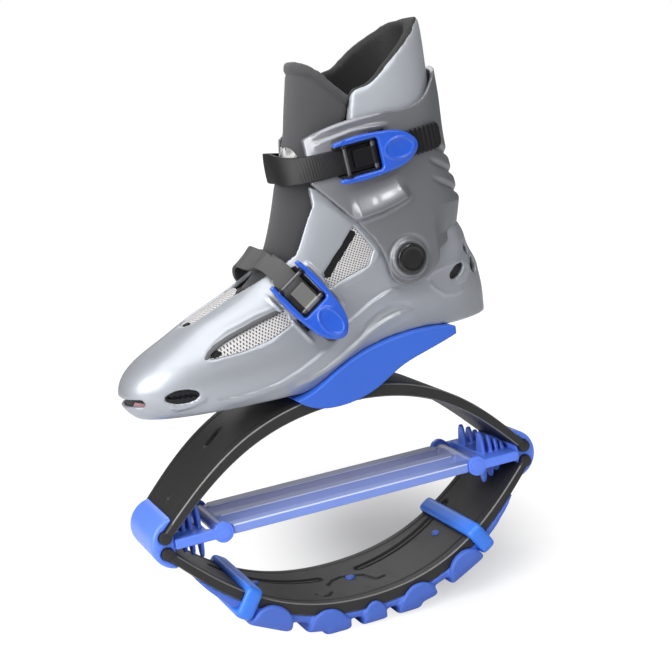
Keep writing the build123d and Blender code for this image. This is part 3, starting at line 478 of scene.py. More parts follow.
def mesh_from_rings(name, rings):
    """A closed skin over rings of points, each with the same count."""
    rings = np.array(rings)
    count, around = rings.shape[:2]
    faces = []
    for i in range(count - 1):
        for j in range(around):
            k = (j + 1) % around
            faces.append((i * around + j, i * around + k, (i + 1) * around + k, (i + 1) * around + j))
    faces.append(tuple(range(around))[::-1])
    faces.append(tuple((count - 1) * around + j for j in range(around)))
    mesh = bpy.data.meshes.new(name)
    mesh.from_pydata([tuple(v) for v in rings.reshape(-1, 3)], [], faces)
    mesh.update()
    return mesh


def joined_mesh(name, meshes):
    """One mesh from several, each left whole."""
    whole = bmesh.new()
    for mesh in meshes:
        whole.from_mesh(mesh)
    mesh = bpy.data.meshes.new(name)
    whole.to_mesh(mesh)
    whole.free()
    return mesh


ROD_SIDES = 40


def rod_mesh(start, end, radius, rounding):
    """A round rod with rounded ends."""
    start, end = Vector(start), Vector(end)
    along = (end - start).normalized()
    across = along.orthogonal().normalized()
    other = along.cross(across)
    length = (end - start).length
    corner = rounding * 0.3
    profile = [(0.0, radius - rounding), (corner, radius - corner), (rounding, radius)]
    profile += [(length - u, r) for u, r in profile[::-1]]
    rings = [[start + along * u + (across * math.cos(t) + other * math.sin(t)) * r for t in turns(ROD_SIDES)]
             for u, r in profile]
    mesh = mesh_from_rings("rod", rings)
    right_way_out(mesh)
    return mesh


def smooth_line(points, count):
    """Evenly counted points on a smooth curve through the given ones."""
    points = np.array(points, dtype=float)
    last = len(points) - 1
    found = []
    for t in np.linspace(0, last, count):
        i = min(int(t), last - 1)
        u = t - i
        p1, p2 = points[i], points[i + 1]
        p0 = points[i - 1] if i else 2 * p1 - p2
        p3 = points[i + 2] if i + 2 < len(points) else 2 * p2 - p1
        found.append(0.5 * (2 * p1 + (p2 - p0) * u + (2 * p0 - 5 * p1 + 4 * p2 - p3) * u * u
                            + (3 * p1 - p0 - 3 * p2 + p3) * u ** 3))
    return np.array(found)


def settle(obj):
    """The object's modifiers made part of its mesh."""
    depsgraph = bpy.context.evaluated_depsgraph_get()
    mesh = bpy.data.meshes.new_from_object(obj.evaluated_get(depsgraph))
    obj.modifiers.clear()
    obj.data = mesh


def add_easing(obj, rounds):
    change = obj.modifiers.new("ease", "SMOOTH")
    change.factor = 0.5
    change.iterations = rounds


def eased_points(obj, rounds):
    """Where the points of an object go when it is smoothed further."""
    add_easing(obj, rounds)
    depsgraph = bpy.context.evaluated_depsgraph_get()
    points = points_of(obj.evaluated_get(depsgraph).to_mesh())[0]
    obj.modifiers.clear()
    return points


def cut_away(obj, tools):
    """The tools' forms cut out of the object."""
    cutter = new_object("cutter", joined_mesh("cutter", tools))
    change = obj.modifiers.new("cut", "BOOLEAN")
    change.operation = "DIFFERENCE"
    change.object = cutter
    settle(obj)
    bpy.data.objects.remove(cutter)


def soften(obj, finish, voxel, rounds, swell=0.0):
    """Remesh, round off and swell a solid, as if stuffed or moulded, and give it its finish."""
    change = obj.modifiers.new("remesh", "REMESH")
    change.mode = "VOXEL"
    change.voxel_size = voxel
    add_easing(obj, rounds)
    settle(obj)
    points, normals = points_of(obj.data)
    put_points(obj.data, points + normals * swell)
    smooth_faces(obj.data)
    wear(obj, finish)


MERGE_DISTANCE = 0.000005


def copy_of(node, name):
    """A new piece with a CAD node's form, its seams joined."""
    mesh = nodes[node].data.copy()
    edit_mesh(mesh, lambda shape: bmesh.ops.remove_doubles(shape, verts=shape.verts, dist=MERGE_DISTANCE))
    return new_object(name, mesh)


def stand_for(piece, node, body):
    """The piece takes the place of a CAD node and rides its body."""
    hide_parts(node)
    slot_of(node)
    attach(piece, body)


# Ridges are raised or sunk along lines; a share of their length tapers off at either end
RIDGE_TAPER_SHARE, RIDGE_REACH = 0.12, 3


def ridge_height(points, normals, line, height, above, below):
    """How far a ridge along a line lifts each point; above and below are its widths on either side."""
    spots = np.array([tuple(point) for point, _ in line])
    directions = np.array([tuple(normal) for _, normal in line])
    reach = RIDGE_REACH * max(above, below)
    near = np.all((points > spots.min(0) - reach) & (points < spots.max(0) + reach), axis=1)
    chosen = points[near]
    best = np.full(len(chosen), 1.0)
    lift = np.zeros(len(chosen))
    total = len(spots) - 1
    for i in range(total):
        start, run = spots[i], spots[i + 1] - spots[i]
        t = np.clip((chosen - start) @ run / max(run @ run, 1e-12), 0, 1)
        gap = chosen - start - t[:, None] * run
        away = np.linalg.norm(gap, axis=1)
        width = np.where(gap[:, 2] > 0, above, below)
        along = (i + t) / total
        ends = np.clip(np.minimum(along, 1 - along) / RIDGE_TAPER_SHARE, 0, 1)
        same_side = facing(normals[near] @ directions[i], gain=3, cut=0.6)
        value = height * bell(away, width) * ends * same_side
        lift = np.where(away < best, value, lift)
        best = np.minimum(best, away)
    heights = np.zeros(len(points))
    heights[near] = lift
    return heights


def moulded(node, body, finish, voxel, rounds, lines=(), relief=None, holes=()):
    """A hard piece with its CAD node's form, with eased edges, raised and sunk lines, and small holes."""
    piece = copy_of(node, node + "_moulded")
    if holes:
        cut_away(piece, holes)
    soften(piece, finish, voxel, rounds)
    points, normals = points_of(piece.data)
    lift = np.zeros(len(points))
    for pixels, height, above, below in lines:
        line = on_surface(node, pixels)
        for spots in (line, mirrored(line)):
            change = ridge_height(points, normals, spots, height * MM, above * MM, below * MM)
            lift = np.where(abs(change) > abs(lift), change, lift)
    if relief:
        lift = lift + relief(points, normals)
    put_points(piece.data, points + normals * lift[:, None])
    stand_for(piece, node, body)
    return piece


# Leaf springs: their line, thickness and width follow the CAD's named sizes
HALF_SPAN, HINGE_HEIGHT, LEAF_TOP = 0.165, 0.110, 0.206
BEAD_OFFSET, BEAD_RADIUS, BEAD_ROUNDING = 0.0069, 0.0052, 0.0012
RISES = {1: 0.084, -1: 0.082}
BULGE_SHARE = 0.29
MID_THICKNESS, END_THICKNESS = 0.011, 0.007
MID_WIDTH, END_WIDTH = 0.0966, 0.078
LEAF_CHAMFER = 0.0011
LEAF_ROWS, LEAF_COLUMNS, LEAF_END_SHARE = 321, 120, 0.985
LEAF_SMOOTH_ANGLE = 40
# A painted highlight, a paler finish along each leaf's rounded edge: where it starts from the side, the share
# of the span it covers, and its tilt
EDGE_START, EDGE_SPAN_SHARE = 0.0001, 0.96
LEAST_EDGE_TILT, MOST_EDGE_TILT = 0.3, 0.95

# Long slots and curved grooves on the lower leaf's inner face, as places (x, y) in metres
LONG_SLOTS = (
    ((-0.120, 0.0125), (-0.026, 0.0125)),
    ((0.016, 0.0155), (0.060, 0.0205), (0.112, 0.0265)),
)
CURVED_GROOVES = (
    ((-0.023, -0.005), (-0.015, 0.004), (-0.0066, 0.0074), (0.0032, 0.0045), (0.012, -0.002), (0.014, -0.009),
     (0.017, -0.019), (0.0253, -0.0187)),
    ((-0.0417, -0.024), (-0.038, -0.030), (-0.031, -0.029), (-0.027, -0.023)),
)
SLOT_HALF_WIDTH, SLOT_FLOOR_DEPTH = 0.0034, 0.0006
SLOT_RIM = (0.0012, 0.0018)
CURVED_GROOVE = (0.0013, 0.0014)
LOWER_EDGE_INSET, LOWER_EDGE_LINE = 0.008, (0.0014, 0.0006)

# A slot and a small hole on the upper leaf's outer face, each with its width and depth
UPPER_SLOT, UPPER_SLOT_CUT = ((-0.1045, 0.0042), (-0.0945, 0.0078)), (0.0022, 0.0045)
UPPER_HOLE, UPPER_HOLE_CUT = ((-0.1473, -0.0016), (-0.1471, -0.0010)), (0.0014, 0.003)
UPPER_EDGE_INSET, UPPER_EDGE_LINE = 0.009, (0.0013, 0.0006)


def leaf_frame(share, side):
    """A point on a leaf's middle line, its outward direction and its half thickness."""
    open_share = 1 - share ** 2
    rise = open_share + BULGE_SHARE * share ** 2 * open_share ** 2
    slope_share = -2 * share + 2 * BULGE_SHARE * share * open_share * (1 - 3 * share ** 2)
    slope = RISES[side] / HALF_SPAN * slope_share
    middle = Vector((HALF_SPAN * share, 0, HINGE_HEIGHT + side * (BEAD_OFFSET + RISES[side] * rise)))
    outward = Vector((-slope, 0, 1)).normalized()
    outward.z *= side
    thickness = MID_THICKNESS - (MID_THICKNESS - END_THICKNESS) * share ** 2
    return middle, outward, thickness / 2


def leaf_half_width(share):
    return (MID_WIDTH - (MID_WIDTH - END_WIDTH) * share ** 2) / 2


def line_distance(x, y, line):
    """Distance from a place to a line of places in the same plane."""
    best = 1.0
    for (x0, y0), (x1, y1) in zip(line, line[1:]):
        dx, dy = x1 - x0, y1 - y0
        t = min(max(((x - x0) * dx + (y - y0) * dy) / (dx * dx + dy * dy), 0), 1)
        best = min(best, math.hypot(x - x0 - dx * t, y - y0 - dy * t))
    return best


def groove(distance, width, depth):
    return depth * math.exp(-(distance / width) ** 2)


def lower_inner_relief(share, y):
    """Depth of the slots and grooves on the lower leaf's inner face."""
    x = HALF_SPAN * share
    cut = 0.0
    for slot in LONG_SLOTS:
        distance = line_distance(x, y, slot)
        floor = SLOT_FLOOR_DEPTH if distance < SLOT_HALF_WIDTH else 0.0
        cut += groove(distance - SLOT_HALF_WIDTH, *SLOT_RIM) + floor
    for line in CURVED_GROOVES:
        cut += groove(line_distance(x, y, line), *CURVED_GROOVE)
    edge = leaf_half_width(share) - abs(y)
    return cut + groove(edge - LOWER_EDGE_INSET, *LOWER_EDGE_LINE)


def upper_outer_relief(share, y):
    """Depth of the slot, the hole and the edge line on the upper leaf's outer face."""
    x = HALF_SPAN * share
    edge = leaf_half_width(share) - abs(y)
    slot = groove(line_distance(x, y, UPPER_SLOT), *UPPER_SLOT_CUT)
    hole = groove(line_distance(x, y, UPPER_HOLE), *UPPER_HOLE_CUT)
    return slot + hole + groove(edge - UPPER_EDGE_INSET, *UPPER_EDGE_LINE)


def no_relief(share, y):
    return 0.0


# The relief of each leaf's faces, by the leaf's side and the face's side
LEAF_RELIEFS = {(-1, -1): lower_inner_relief, (1, 1): upper_outer_relief}


def leaf_mesh(side):
    """A leaf spring's strip, with a round bead along each end."""
    rings = []
    for share in np.linspace(-LEAF_END_SHARE, LEAF_END_SHARE, LEAF_ROWS):
        middle, outward, half = leaf_frame(share, side)
        half_width = leaf_half_width(share)
        ring = []
        for face in (1, -1):
            depth_at = LEAF_RELIEFS.get((side, face), no_relief)
            for step in range(LEAF_COLUMNS + 1):
                y = half_width * math.sin(math.pi / 2 * (1 - 2 * step / LEAF_COLUMNS)) * face
                edge = half_width - abs(y)
                rounding = max(0.0, LEAF_CHAMFER - edge)
                height = (half - rounding - depth_at(share, y)) * face
                ring.append(middle + Vector((0, y, 0)) + outward * height)
        rings.append(ring)
    strip = mesh_from_rings("strip", rings)
    right_way_out(strip)
    z = HINGE_HEIGHT + side * BEAD_OFFSET
    beads = [rod_mesh((end * HALF_SPAN, -END_WIDTH / 2, z), (end * HALF_SPAN, END_WIDTH / 2, z),
                      BEAD_RADIUS, BEAD_ROUNDING) for end in (-1, 1)]
    return joined_mesh("leaf", [strip] + beads)


def on_leaf_edge(face):
    edge = leaf_half_width(face.center.x / HALF_SPAN) - abs(face.center.y)
    in_span = abs(face.center.x) < HALF_SPAN * EDGE_SPAN_SHARE
    tilted = LEAST_EDGE_TILT < abs(face.normal.y) < MOST_EDGE_TILT
    return EDGE_START < edge < LEAF_CHAMFER and in_span and tilted


def flatten(piece, node, side):
    """The piece stands for its node, riding the tread base on the lower side and the tension unit on the
    upper.
    """
    if side == -1:
        stand_for(piece, node, "tread_base")
        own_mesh(piece)
    else:
        stand_for(piece, node, "tension_unit")
        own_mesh(piece)


for leaf, side in (("upper_leaf", 1), ("lower_leaf", -1)):
    piece = new_object(leaf, leaf_mesh(side))
    wear(piece, "carbon_plastic")
    smooth_by_angle(piece.data, LEAF_SMOOTH_ANGLE)
    # The leaf's rounded edge faces get the painted highlight
    paint_faces(piece, "leaf_edge", on_leaf_edge)
    flatten(piece, leaf + "_spring", side)

# Tread: the lower leaf's outer face is sampled over this share of its span
SAMPLED_SHARE, SAMPLE_COUNT, SAMPLE_GROUP = 0.93, 281, 4000
# Pads are rounded from this depth on, and thin down from this place at either side
PAD_START, PAD_EASE, PAD_ROUNDS = 0.0035, 0.004, 40
PAD_SIDE_START, PAD_SIDE_RUN = 0.036, 0.0155
PAD_THINNING_SHARE, SKIN_THINNING_SHARE = 0.55, 0.3
TREAD_VOXEL = 0.0011
# Rounds of easing, and how far each piece is swollen
TREAD_EASING = {
    "tread": (6, 0.0003),
    "tread_plugs": (3, 0.0003),
    "front_tread_band": (24, 0.0022),
    "rear_tread_band": (24, 0.0022),
}


def depth_under_leaf(points):
    """Each point's depth under the lower leaf's outer face, and the direction of that depth."""
    rows = [leaf_frame(share, -1) for share in np.linspace(-SAMPLED_SHARE, SAMPLED_SHARE, SAMPLE_COUNT)]
    places = np.array([tuple(middle + outward * half) for middle, outward, half in rows])[:, ::2]
    directions = np.array([tuple(outward) for middle, outward, half in rows])[:, ::2]
    flat = points[:, ::2]
    nearest = np.concatenate([np.argmin(((part[:, None] - places) ** 2).sum(axis=2), axis=1)
                              for part in np.array_split(flat, 1 + len(flat) // SAMPLE_GROUP)])
    depth = ((flat - places[nearest]) * directions[nearest]).sum(axis=1)
    return depth, directions[nearest]


def round_pads(piece):
    """Pads rounded like half moons, which thin towards the sides of the tread."""
    points = points_of(piece.data)[0]
    share = rising(depth_under_leaf(points)[0], PAD_START, PAD_EASE)[:, None]
    points = points * (1 - share) + eased_points(piece, PAD_ROUNDS) * share
    depth, direction = depth_under_leaf(points)
    side = rising(abs(points[:, 1]), PAD_SIDE_START, PAD_SIDE_RUN)
    fall = 1 - np.sqrt(np.clip(1 - side ** 2, 0, 1))
    change = np.where(depth > 0, -depth * PAD_THINNING_SHARE * fall, -depth * SKIN_THINNING_SHARE * side)
    points[:, ::2] += direction * change[:, None]
    put_points(piece.data, points)


for node, (rounds, swell) in TREAD_EASING.items():
    finish = "band_rubber" if node.endswith("band") else slot_of(node)
    piece = copy_of(node, node + "_flexing")
    soften(piece, finish, TREAD_VOXEL, rounds, swell)
    if node == "tread":
        round_pads(piece)
    flatten(piece, node, -1)

# Liner, insole, collar and tongue: how full they are, and how coarsely they are remeshed
HIDDEN_VOXEL, PADDED_VOXEL = 0.003, 0.0018


def soft_copy(node, name, body, finish, voxel, rounds, swell=0.0006):
    piece = copy_of(node, name)
    soften(piece, finish, voxel, rounds, swell)
    stand_for(piece, node, body)
    return piece


# The collar's foot and height, the place of its middle at its foot, and how far that goes back to its rim
COLLAR_FOOT, COLLAR_HEIGHT = 0.352, 0.147
COLLAR_MIDDLE, COLLAR_MIDDLE_SHIFT = 0.060, 0.012
LINING_TURN, LINING_GAIN = 0.62, 1.5
FAR_RIM_LIFT = 0.0125
NEAR_EDGE_SHIFT, NEAR_EDGE_TILT, NEAR_EDGE_DIP = 0.0042, 0.0060, 0.0035


# In these functions x, y and z are views of the points, so a change to them moves the points
def raise_far_rim(piece):
    """The collar stands a little higher on the boot's inner side."""
    points = points_of(piece.data)[0]
    x, y, z = points.T
    lift = rising(y, start=0, over=0.022) * rising(z, start=0.415, over=0.040)
    lift *= 1 - rising(x, start=0.072, over=0.042) ** 1.5
    z += FAR_RIM_LIFT * lift
    put_points(piece.data, points)


def shape_near_edge(piece):
    """The collar's front edge stands upright on the outer side, and its rim dips there."""
    points = points_of(piece.data)[0]
    x, y, z = points.T
    side = rising(-y, start=0.018, over=0.01)
    front = falling(x, end=0.056, over=0.012) * side
    x += front * (NEAR_EDGE_SHIFT - NEAR_EDGE_TILT * rising(z, start=0.412, over=0.03))
    z -= NEAR_EDGE_DIP * (rising(z, start=0.431, over=0.008) * falling(x, end=0.072, over=0.02) * side)
    put_points(piece.data, points)


def line_collar(piece):
    """Marks the collar's inside and its rim, which are black lining."""
    points, normals = points_of(piece.data)
    z = points[:, 2]
    share = (z - COLLAR_FOOT) / COLLAR_HEIGHT
    outward = points - np.stack([COLLAR_MIDDLE + COLLAR_MIDDLE_SHIFT * share, 0 * share, z], axis=1)
    outward /= np.linalg.norm(outward, axis=1)[:, None]
    turned = np.einsum("ij,ij->i", normals, outward)
    mark = piece.data.attributes.new("lining", "FLOAT", "POINT")
    mark.data.foreach_set("value", np.clip(0.5 + (LINING_TURN - turned) * LINING_GAIN, 0, 1))


# The tongue's top edge as places (x, z), its lip and the seam under it
TONGUE_RIM = ((-0.044, 0.4735), (-0.017, 0.4735), (0.003, 0.4725), (0.016, 0.466), (0.030, 0.452),
              (0.045, 0.437), (0.060, 0.424))
LIP_HEIGHT, LIP_THICKNESS, LIP_EASE = 0.009, 0.0016, 0.002
SEAM_PLACE, SEAM_WIDTH, SEAM_DEPTH = 0.0098, 0.0012, 0.0016
FLAT_TOP_GAIN = 1.3
TONGUE_LEAN = 0.0052


def roll_tongue(piece):
    """A rolled lip along the tongue's top, with a seam under it."""
    points, normals = points_of(piece.data)
    below = np.interp(points[:, 0], *zip(*TONGUE_RIM)) - points[:, 2]
    lip = falling(below, LIP_HEIGHT, LIP_EASE) * LIP_THICKNESS
    seam = SEAM_DEPTH * bell(below - SEAM_PLACE, SEAM_WIDTH)
    level = np.clip(1 - abs(normals[:, 2]) * FLAT_TOP_GAIN, 0, 1)
    put_points(piece.data, points + normals * ((lip - seam) * level)[:, None])


def draw_back(mesh):
    """The top half of the tongue leans back a little."""
    points = points_of(mesh)[0]
    x, y, z = points.T
    x += TONGUE_LEAN * (rising(z, start=0.372, over=0.045) * falling(x, end=0.030, over=0.04))
    put_points(mesh, points)


soft_copy("liner_foot", "liner_sock", "boot", "liner_fabric", HIDDEN_VOXEL, rounds=6)
soft_copy("insole", "footbed", "boot", "insole_foam", HIDDEN_VOXEL, rounds=3)
collar = soft_copy("liner_collar", "padded_collar", "cuff_body", "collar_vinyl", PADDED_VOXEL, rounds=8,
                   swell=0.0008)
tongue = soft_copy("tongue", "padded_tongue", "boot", "tongue_fabric", PADDED_VOXEL, rounds=7)
raise_far_rim(collar)
shape_near_edge(collar)
line_collar(collar)
roll_tongue(tongue)
draw_back(tongue.data)

# Raised and sunk lines of the shell: pixels, height, and widths above and below, in millimetres
SHELL_LINES = (
    ([(208, 402), (222, 400), (240, 397), (260, 391), (280, 383), (300, 371), (315, 360), (330, 346),
      (348, 323), (360, 313), (370, 304), (380, 297), (390, 291), (402, 288)], 2.0, 1.1, 6.5),
    ([(294, 386), (310, 378), (325, 369), (340, 358), (355, 345), (368, 333), (378, 325), (388, 319),
      (400, 313), (416, 310)], 2.0, 1.1, 5.0),
    ([(362, 334), (370, 324), (380, 315), (390, 309), (400, 306), (412, 305)], -1.3, 2.2, 1.6),
    ([(264, 294), (275, 305), (288, 317), (300, 329), (315, 344)], 1.8, 1.5, 1.5),
    ([(304, 261), (318, 275), (332, 290), (346, 306)], 1.8, 1.5, 1.5),
    ([(379, 251), (376, 259), (370, 267), (362, 273), (353, 278), (340, 287)], 0.9, 1.4, 2.6),
    ([(168, 407), (178, 409), (190, 406), (201, 401), (208, 397)], 1.1, 1.1, 2.2),
    ([(429, 281), (429, 275), (433, 271), (440, 268), (455, 262), (465, 262)], 0.8, 1.2, 1.4),
    ([(429, 281), (435, 288), (446, 294), (456, 293), (464, 288)], 0.7, 1.2, 1.6),
    ([(466, 262), (469, 269), (465, 278), (456, 283)], 1.0, 1.4, 1.4),
    ([(203, 360), (206, 350), (214, 341), (226, 331), (240, 324), (256, 315), (272, 309), (284, 307)],
     0.5, 1.6, 1.2),
    ([(204, 362), (214, 362), (230, 357), (246, 352), (262, 348), (275, 341), (285, 332), (292, 322)],
     0.3, 1.0, 2.0),
)
CUFF_LINES = (
    ([(311, 147), (330, 140), (350, 132), (370, 127), (390, 124)], 1.9, 1.5, 2.8),
    ([(309, 140), (320, 134), (335, 128), (350, 123), (370, 117), (390, 111), (408, 104)], 1.2, 1.2, 1.6),
    ([(350, 220), (364, 216), (380, 210), (396, 202), (411, 192)], 5.6, 12.5, 3.2),
    ([(316, 191), (330, 202), (345, 214), (358, 225), (372, 238)], 1.3, 1.8, 1.2),
    ([(383, 258), (388, 270), (395, 279), (404, 284), (414, 285), (424, 281)], 0.9, 1.2, 1.4),
)
# Holes in the heel: pixel, half length and half width in metres, and lean in degrees
HEEL_HOLES = (
    ((463.5, 246.5), 0.0068, 0.0052, 14),
    ((473.5, 264), 0.0078, 0.0058, 8),
    ((457.5, 270.5), 0.0096, 0.0046, -60),
)
HOLE_REACH, HOLE_SIDES = 0.0072, 28
HEEL_TOP, HEEL_BAND, HEEL_FILL, HEEL_TURN = 0.312, 0.013, 0.0045, 0.7
# The cuff's pivots: their place (x, z), and the ring and the sunk line round each
PIVOT_X, PIVOT_Z = 0.070, 0.3037
RING_RADIUS, RING_WIDTH, RING_HEIGHT = 0.0149, 0.0013, 0.0015
MOAT_RADIUS, MOAT_WIDTH, MOAT_DEPTH = 0.0182, 0.0015, 0.0008
# Scallops across the back of the cuff, which lean down towards its sides
SCALLOP_HEIGHTS = (0.352, 0.367, 0.382)
SCALLOP_DEPTH, SCALLOP_WIDTH, SCALLOP_LEAN, CUFF_BACK = 0.0030, 0.0026, 0.45, 0.128
TUCK_FORWARD, TUCK_IN, TUCK_MIDDLE = 0.0062, 0.0044, 0.02
# The pivot caps: their outer faces widened by a share, and a fine ring on each
CAP_FACE, CAP_EASE, CAP_WIDENING_SHARE = 0.0515, 0.001, 0.15
CAP_RING_RADIUS, CAP_RING_WIDTH, CAP_RING_HEIGHT = 0.0088, 0.0007, 0.0005


def slanted_hole(node, pixel, half_length, half_width, lean):
    """An oval rod through a CAD node's wall at a pixel, and its mirror image; lean turns it in its plane."""
    spot = spot_at(node, pixel)
    meshes = []
    for point, normal in [spot] + mirrored([spot]):
        side = Vector((0, 0, 1)).cross(normal).normalized()
        rise = normal.cross(side)
        turn = math.radians(lean) * (-1 if normal.y > 0 else 1)
        first = (side * math.cos(turn) + rise * math.sin(turn)) * half_width
        second = (rise * math.cos(turn) - side * math.sin(turn)) * half_length
        rings = [[point + normal * reach + first * math.cos(t) + second * math.sin(t)
                  for t in turns(HOLE_SIDES)] for reach in (-HOLE_REACH, HOLE_REACH)]
        mesh = mesh_from_rings("hole", rings)
        right_way_out(mesh)
        meshes.append(mesh)
    return meshes


def heel_relief(points, normals):
    """The top of the heel filled out to meet the cuff."""
    x, y, z = points.T
    outward = normals[:, 0] * HEEL_TURN + normals[:, 1] * np.sign(y) * HEEL_TURN
    fill = HEEL_FILL * bell(z - HEEL_TOP, HEEL_BAND)
    return fill * rising(x, start=0.104, over=0.018) * facing(outward, gain=4, cut=0.6)


def from_pivot(points):
    return np.hypot(points[:, 0] - PIVOT_X, points[:, 2] - PIVOT_Z)


def cuff_relief(points, normals):
    """A raised ring round each pivot, and scallops across the back."""
    x, y, z = points.T
    away = from_pivot(points)
    ring = RING_HEIGHT * bell(away - RING_RADIUS, RING_WIDTH)
    moat = MOAT_DEPTH * bell(away - MOAT_RADIUS, MOAT_WIDTH)
    fall = (CUFF_BACK - x) * SCALLOP_LEAN
    dips = sum(SCALLOP_DEPTH * bell(z - height - fall, SCALLOP_WIDTH) for height in SCALLOP_HEIGHTS)
    back = rising(x, start=0.100, over=0.014) * facing(normals[:, 0], gain=3, cut=-0.6)
    return (ring - moat) * facing(normals[:, 1] * np.sign(y), gain=3, cut=1) - dips * back


def tuck_cuff(piece):
    """The cuff's lower rear edge drawn in to follow the heel."""
    points = points_of(piece.data)[0]
    x, y, z = points.T
    share = falling(z, end=0.342, over=0.024) * rising(x, start=0.098, over=0.022)
    x -= TUCK_FORWARD * share
    y -= TUCK_IN * share * np.clip(y / TUCK_MIDDLE, -1, 1)
    put_points(piece.data, points)


def cap_relief(points, normals):
    """A fine raised ring on each pivot cap."""
    ring = CAP_RING_HEIGHT * bell(from_pivot(points) - CAP_RING_RADIUS, CAP_RING_WIDTH)
    return ring * facing(abs(normals[:, 1]), gain=3, cut=2)


def widen_caps(piece):
    """The pivot caps fill the cuff's raised rings."""
    points = points_of(piece.data)[0]
    x, y, z = points.T
    share = rising(abs(y), CAP_FACE, CAP_EASE) * CAP_WIDENING_SHARE
    x += (x - PIVOT_X) * share
    z += (z - PIVOT_Z) * share
    put_points(piece.data, points)


heel_holes = [mesh for hole in HEEL_HOLES for mesh in slanted_hole("shell", *hole)]
moulded("shell", "boot", "shell_silver", voxel=0.0012, rounds=2, lines=SHELL_LINES,
        relief=heel_relief, holes=heel_holes)
tuck_cuff(moulded("cuff", "cuff_body", "cuff_grey", voxel=0.0011, rounds=2, lines=CUFF_LINES,
                  relief=cuff_relief))
moulded("saddle", "boot", "wing_plastic", voxel=0.0009, rounds=2)
widen_caps(moulded("pivot_rivets", "boot", "pivot_black", voxel=0.0007, rounds=2, relief=cap_relief))

# Tension unit: a painted highlight, a paler finish along the upper front edge of each spring strand
TENSION_UNIT = ("front_end_cap", "rear_end_cap", "front_spring_link", "rear_spring_link", "tension_spring")
TENSION_VOXEL = 0.0008
STRAND_EDGES = (-0.0365, -0.0060, 0.0245)
STRAND_EDGE_WIDTH, STRAND_EDGE_HEIGHT, STRAND_EDGE_REACH = 0.0012, 0.1128, 0.108


def on_strand_edge(face):
    to_edge = min(abs(face.center.y - edge) for edge in STRAND_EDGES)
    on_top = face.center.z > STRAND_EDGE_HEIGHT and abs(face.center.x) < STRAND_EDGE_REACH
    return on_top and to_edge < STRAND_EDGE_WIDTH


for node in TENSION_UNIT:
    piece = moulded(node, "tension_unit", slot_of(node), TENSION_VOXEL, rounds=3)
    if node == "tension_spring":
        # The strands' upper front edges get the painted highlight
        paint_faces(piece, "strand_edge", on_strand_edge)

# Ratchet buckles: their places, and their directions along and outward, follow the CAD's named sizes
BUCKLES = {
    "upper": ((0.0240, -0.0466, 0.3898), (0.992, -0.05, 0.105), (-0.05, -0.9987, 0.0)),
    "lower": ((-0.0335, -0.0395, 0.3012), (0.559, -0.211, -0.802), (-0.09, -0.978, 0.2)),
}
BUCKLE_BODIES = {"upper": "cuff_body", "lower": "boot"}
PAWL_FINISHES = {"upper": "buckle_black", "lower": "pawl_grey"}
# The oval on a lever's broad end: its place along the lever, its half length and half width, and its ring
OVAL_PLACE, OVAL_HALF_LENGTH, OVAL_HALF_WIDTH = 0.0455, 0.0125, 0.0082
OVAL_RING_WIDTH, OVAL_RING_HEIGHT, DISH_DEPTH = 0.0009, 0.0008, 0.0007
CROWN_START, CROWN_EASE, CROWN_HALF_WIDTH, CROWN_HEIGHT = 0.028, 0.01, 0.018, 0.0011
# Ribs across the straps: start and end along the buckle, pitch and depth
TAIL_TEETH = (0.052, 0.090, 0.0043, 0.0011)
UPPER_RIBS = (-0.036, 0.006, 0.0021, 0.00012)
LOWER_RIBS = (-0.04, 0.02, 0.0019, 0.00012)
RIB_EASE = 0.002
STRAP_VOXEL, BUCKLE_VOXEL, PAWL_VOXEL = 0.0007, 0.0005, 0.0004
# How far the lower strap stands off the boot: places across it, and steps forward and up, in millimetres
STRAP_LIFT = ((-36, 0, 0), (-30, 1.0, 1.6), (-24, 2.9, 4.4), (-18, 4.7, 8.0), (-12, 7.6, 10.2),
              (-6, 2.8, 8.2), (0, -1.4, 7.9), (12, -2.6, 6.6), (24, -1.6, 3.8), (40, 0, 0))
LIFT_STEPS = 120
# The direction across the lower strap, over the tongue and at the boot's side
ACROSS_OVER_TONGUE, ACROSS_AT_SIDE = np.array([0.72, 0, 0.69]), np.array([0.825, 0.04, 0.564])
LOWER_STRAP_HALF_WIDTH = 0.0105
# Rows across the boot in which the lower strap's width is taken, and how far a row reaches
STRAP_ROWS, ROW_REACH = np.arange(-0.038, 0.0425, 0.002), 0.0016
# The upper strap's loop: its start, its foot's step back and lean to the top, and its foot's and top's rise
LOOP_START = 0.004
LOOP_FOOT_BACK, LOOP_LEAN = 0.0036, 0.0070
LOOP_FOOT_LIFT, LOOP_TOP_LIFT = 0.0032, 0.0050


def buckle_axes(which):
    """A buckle's place, and its directions along, across and outward as columns."""
    origin, run, out = (np.array(v) for v in BUCKLES[which])
    out = out / np.linalg.norm(out)
    run = run - out * (run @ out)
    run /= np.linalg.norm(run)
    return origin, np.stack([run, np.cross(out, run), out], axis=1)


def lever_relief(which):
    """An oval ring, a dished plate and a crowned face on a lever's broad end."""
    origin, directions = buckle_axes(which)

    def relief(points, normals):
        along, across, outward = ((points - origin) @ directions).T
        oval = np.hypot((along - OVAL_PLACE) / OVAL_HALF_LENGTH, across / OVAL_HALF_WIDTH)
        ring = OVAL_RING_HEIGHT * bell((oval - 1) * OVAL_HALF_WIDTH, OVAL_RING_WIDTH)
        dish = -DISH_DEPTH * np.clip(1 - oval, 0, 1)
        crown = CROWN_HEIGHT * np.clip(1 - (across / CROWN_HALF_WIDTH) ** 2, 0, 1)
        crown = crown * rising(along, CROWN_START, CROWN_EASE)
        return (ring + dish + crown) * facing(normals @ directions[:, 2], gain=3, cut=1.2)
    return relief


